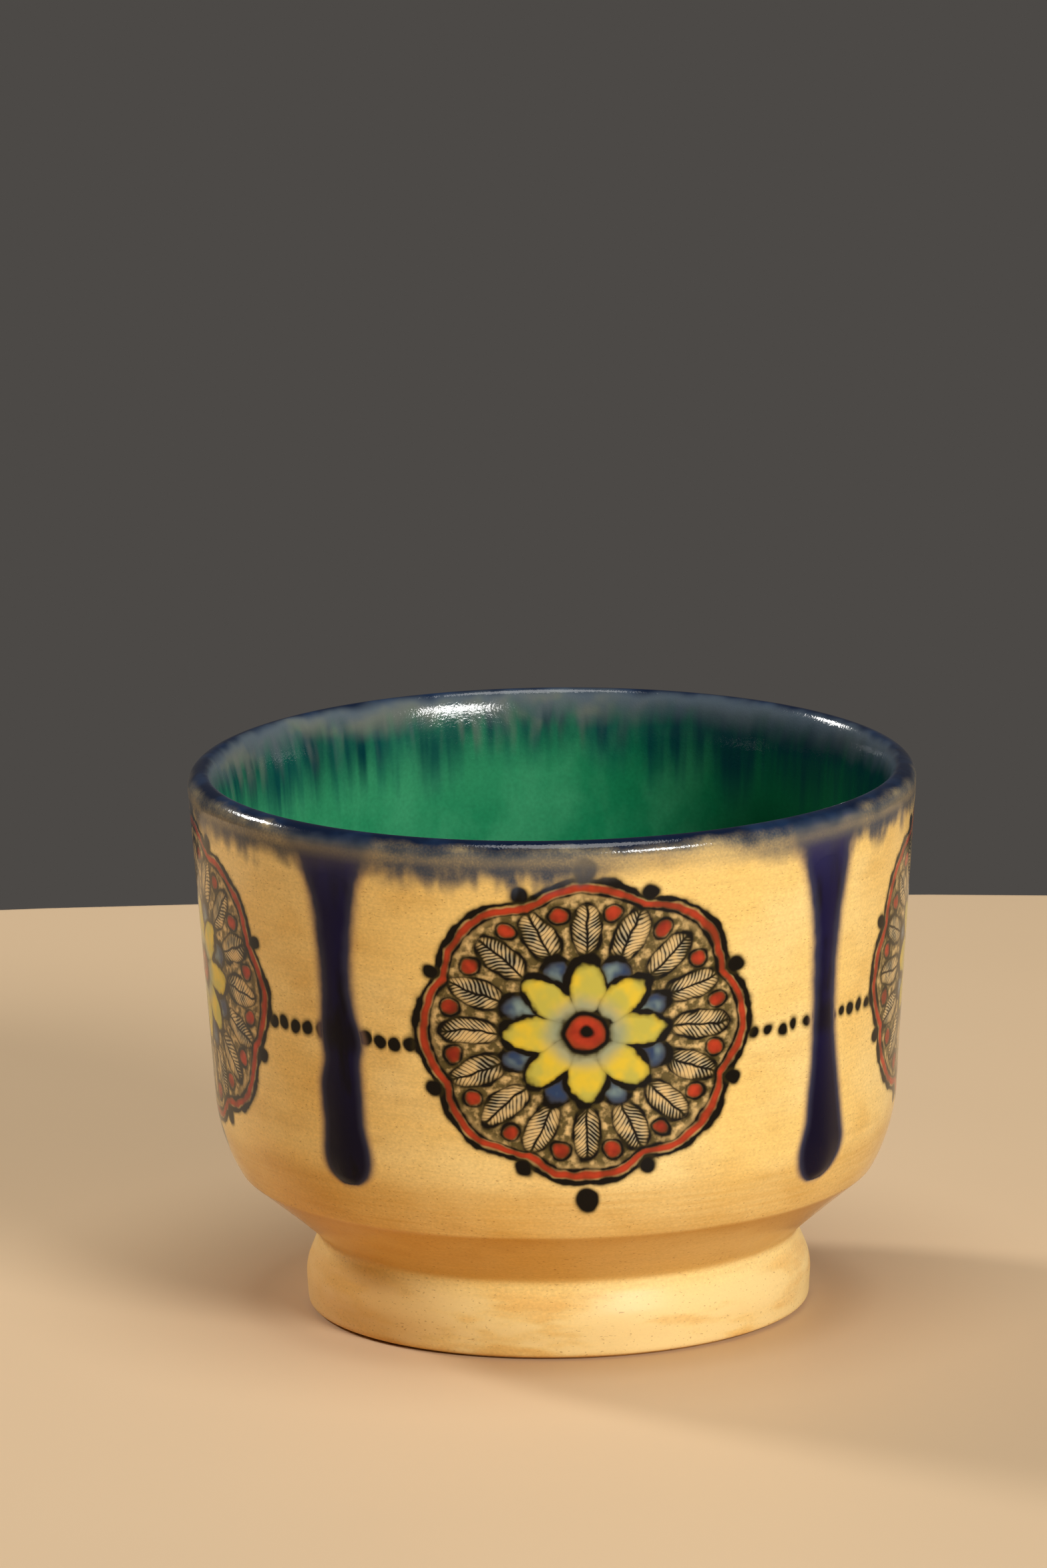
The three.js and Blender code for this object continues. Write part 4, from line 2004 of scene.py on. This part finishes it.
@dataclass
class Studio:
    """The pale tabletop, the lamps, the backdrop and the camera."""

    table_radius: float = 0.9
    table_behind: float = 0.24
    table_edge: float = 8 * MM
    table_thickness: float = 30 * MM
    table_columns: int = 128
    edge_points: int = 9
    table_colour: Colour = srgb(216, 187, 150)
    table_glow: Colour = srgb(211, 165, 104)
    table_grain: Grain = Grain(90, 90)
    table_tone: float = 0.97
    grain_tone: float = 0.06
    table_roughness: float = 0.55
    backdrop: Colour = srgb(76, 73, 70)
    ambient: float = 0.027
    ambient_colour: Colour = srgb(255, 236, 212)
    front_turn: float = math.radians(-4.85)
    camera_distance: float = 1.8
    camera_height: float = 0.47399
    pitch: float = 0.221
    yaw: float = -0.0021
    roll: float = -0.0135
    focal_pixels: float = 21035.2
    picture_height: int = 2349
    sensor: float = 36.0
    lamp_aim: float = 0.04
    lamps: tuple[Lamp, ...] = (
        Lamp("key", 30, 25, 2.2, 0.91, 0.44, 41, (1, 0.99, 0.97)),
        Lamp("back", -127, 30, 1.4, 0.25, 0.25, 10, (1, 0.98, 0.95)),
        Lamp("top", 20, 82, 1.3, 0.8, 0.8, 8.5, (1, 0.99, 0.97)),
    )

    def build(self) -> None:
        """Sets up everything round the cup."""
        bpy.context.scene.view_settings.view_transform = "Standard"
        self.lay_table()
        self.light_world()
        for lamp in self.lamps:
            lamp.hang(Vector((0, 0, self.lamp_aim)))
        self.place_camera()

    @staticmethod
    def seen(recipe: Recipe) -> Value:
        """1 on rays that come from the camera or off a gloss, and 0 on light that is thrown back."""
        camera_ray = recipe.node("ShaderNodeLightPath", None, "Is Camera Ray")
        return camera_ray.most(recipe.node("ShaderNodeLightPath", None, "Is Glossy Ray"))

    def lay_table(self) -> None:
        """A round tabletop with a rounded edge, which ends a little way behind the cup."""
        edge, low = self.table_edge, -self.table_thickness
        centre = np.array([self.table_radius - edge, -edge])
        rounded = CupSection.arc(centre, edge, 0, math.pi / 2, self.edge_points)
        loop = np.concatenate([[[0, low], [self.table_radius, low]], rounded, [[0, 0]]])
        true = ThrowersHand(oval=0, three_sided=0, lip_wave=0, ring=0)
        table = Turning(true, self.table_columns).mesh("table", loop)
        merge_poles(table)
        forward = self.table_radius - self.table_behind
        table.location = Matrix.Rotation(self.front_turn, 3, "Z") @ Vector((0, -forward, 0))
        recipe = Recipe.named("pale_table")
        colour = recipe.mix(self.seen(recipe), self.table_glow, self.table_colour)
        tone = self.table_tone + self.grain_tone * recipe.grain(self.table_grain)
        shader = recipe.gloss(recipe.tone(colour, tone), self.table_roughness)
        table.data.materials.append(recipe.fire(shader))

    def light_world(self) -> None:
        """An even pale light all round, seen by the camera and in gloss as a grey backdrop."""
        world = bpy.data.worlds.new("studio")
        bpy.context.scene.world = world
        recipe = Recipe(world)
        light = {"Color": self.ambient_colour, "Strength": self.ambient}
        even = recipe.node("ShaderNodeBackground", light)
        grey = recipe.node("ShaderNodeBackground", {"Color": self.backdrop})
        shader = recipe.choose(self.seen(recipe), even, grey)
        recipe.node("ShaderNodeOutputWorld", {"Surface": shader})

    def place_camera(self) -> None:
        """The photograph's view: a long lens from the front, looking a little down."""
        sight = Vector((
            math.sin(self.yaw) * math.cos(self.pitch),
            math.cos(self.yaw) * math.cos(self.pitch),
            -math.sin(self.pitch),
        ))
        right = sight.cross(Vector((0, 0, 1))).normalized()
        up = right.cross(sight)
        tilted = math.cos(self.roll) * right + math.sin(self.roll) * up
        above = math.cos(self.roll) * up - math.sin(self.roll) * right
        view = Matrix((tilted, above, -sight)).transposed().to_4x4()
        view.translation = Vector((0, -self.camera_distance, self.camera_height))
        lens = bpy.data.cameras.new("camera")
        lens.sensor_width = self.sensor
        lens.lens = self.focal_pixels / self.picture_height * self.sensor
        camera = bpy.data.objects.new("camera", lens)
        camera.matrix_world = Matrix.Rotation(self.front_turn, 4, "Z") @ view
        bpy.context.scene.collection.objects.link(camera)
        bpy.context.scene.camera = camera


def main() -> None:
    """Builds the cup's parts in order, reports each piece, and sets up the studio."""
    logging.basicConfig(level=logging.INFO, format="%(name)s: %(message)s")
    form, finishes = CupForm(), Finishes()
    runs = GlazeRuns(form, finishes)
    for part in (GlazeCoats(form, finishes, runs), runs, ClayWork(form, finishes)):
        for piece in part.build():
            log.info("%s: %d faces, in %s", piece.name, len(piece.data.polygons), type(part).__name__)
    Studio().build()


if __name__ == "__main__":
    main()
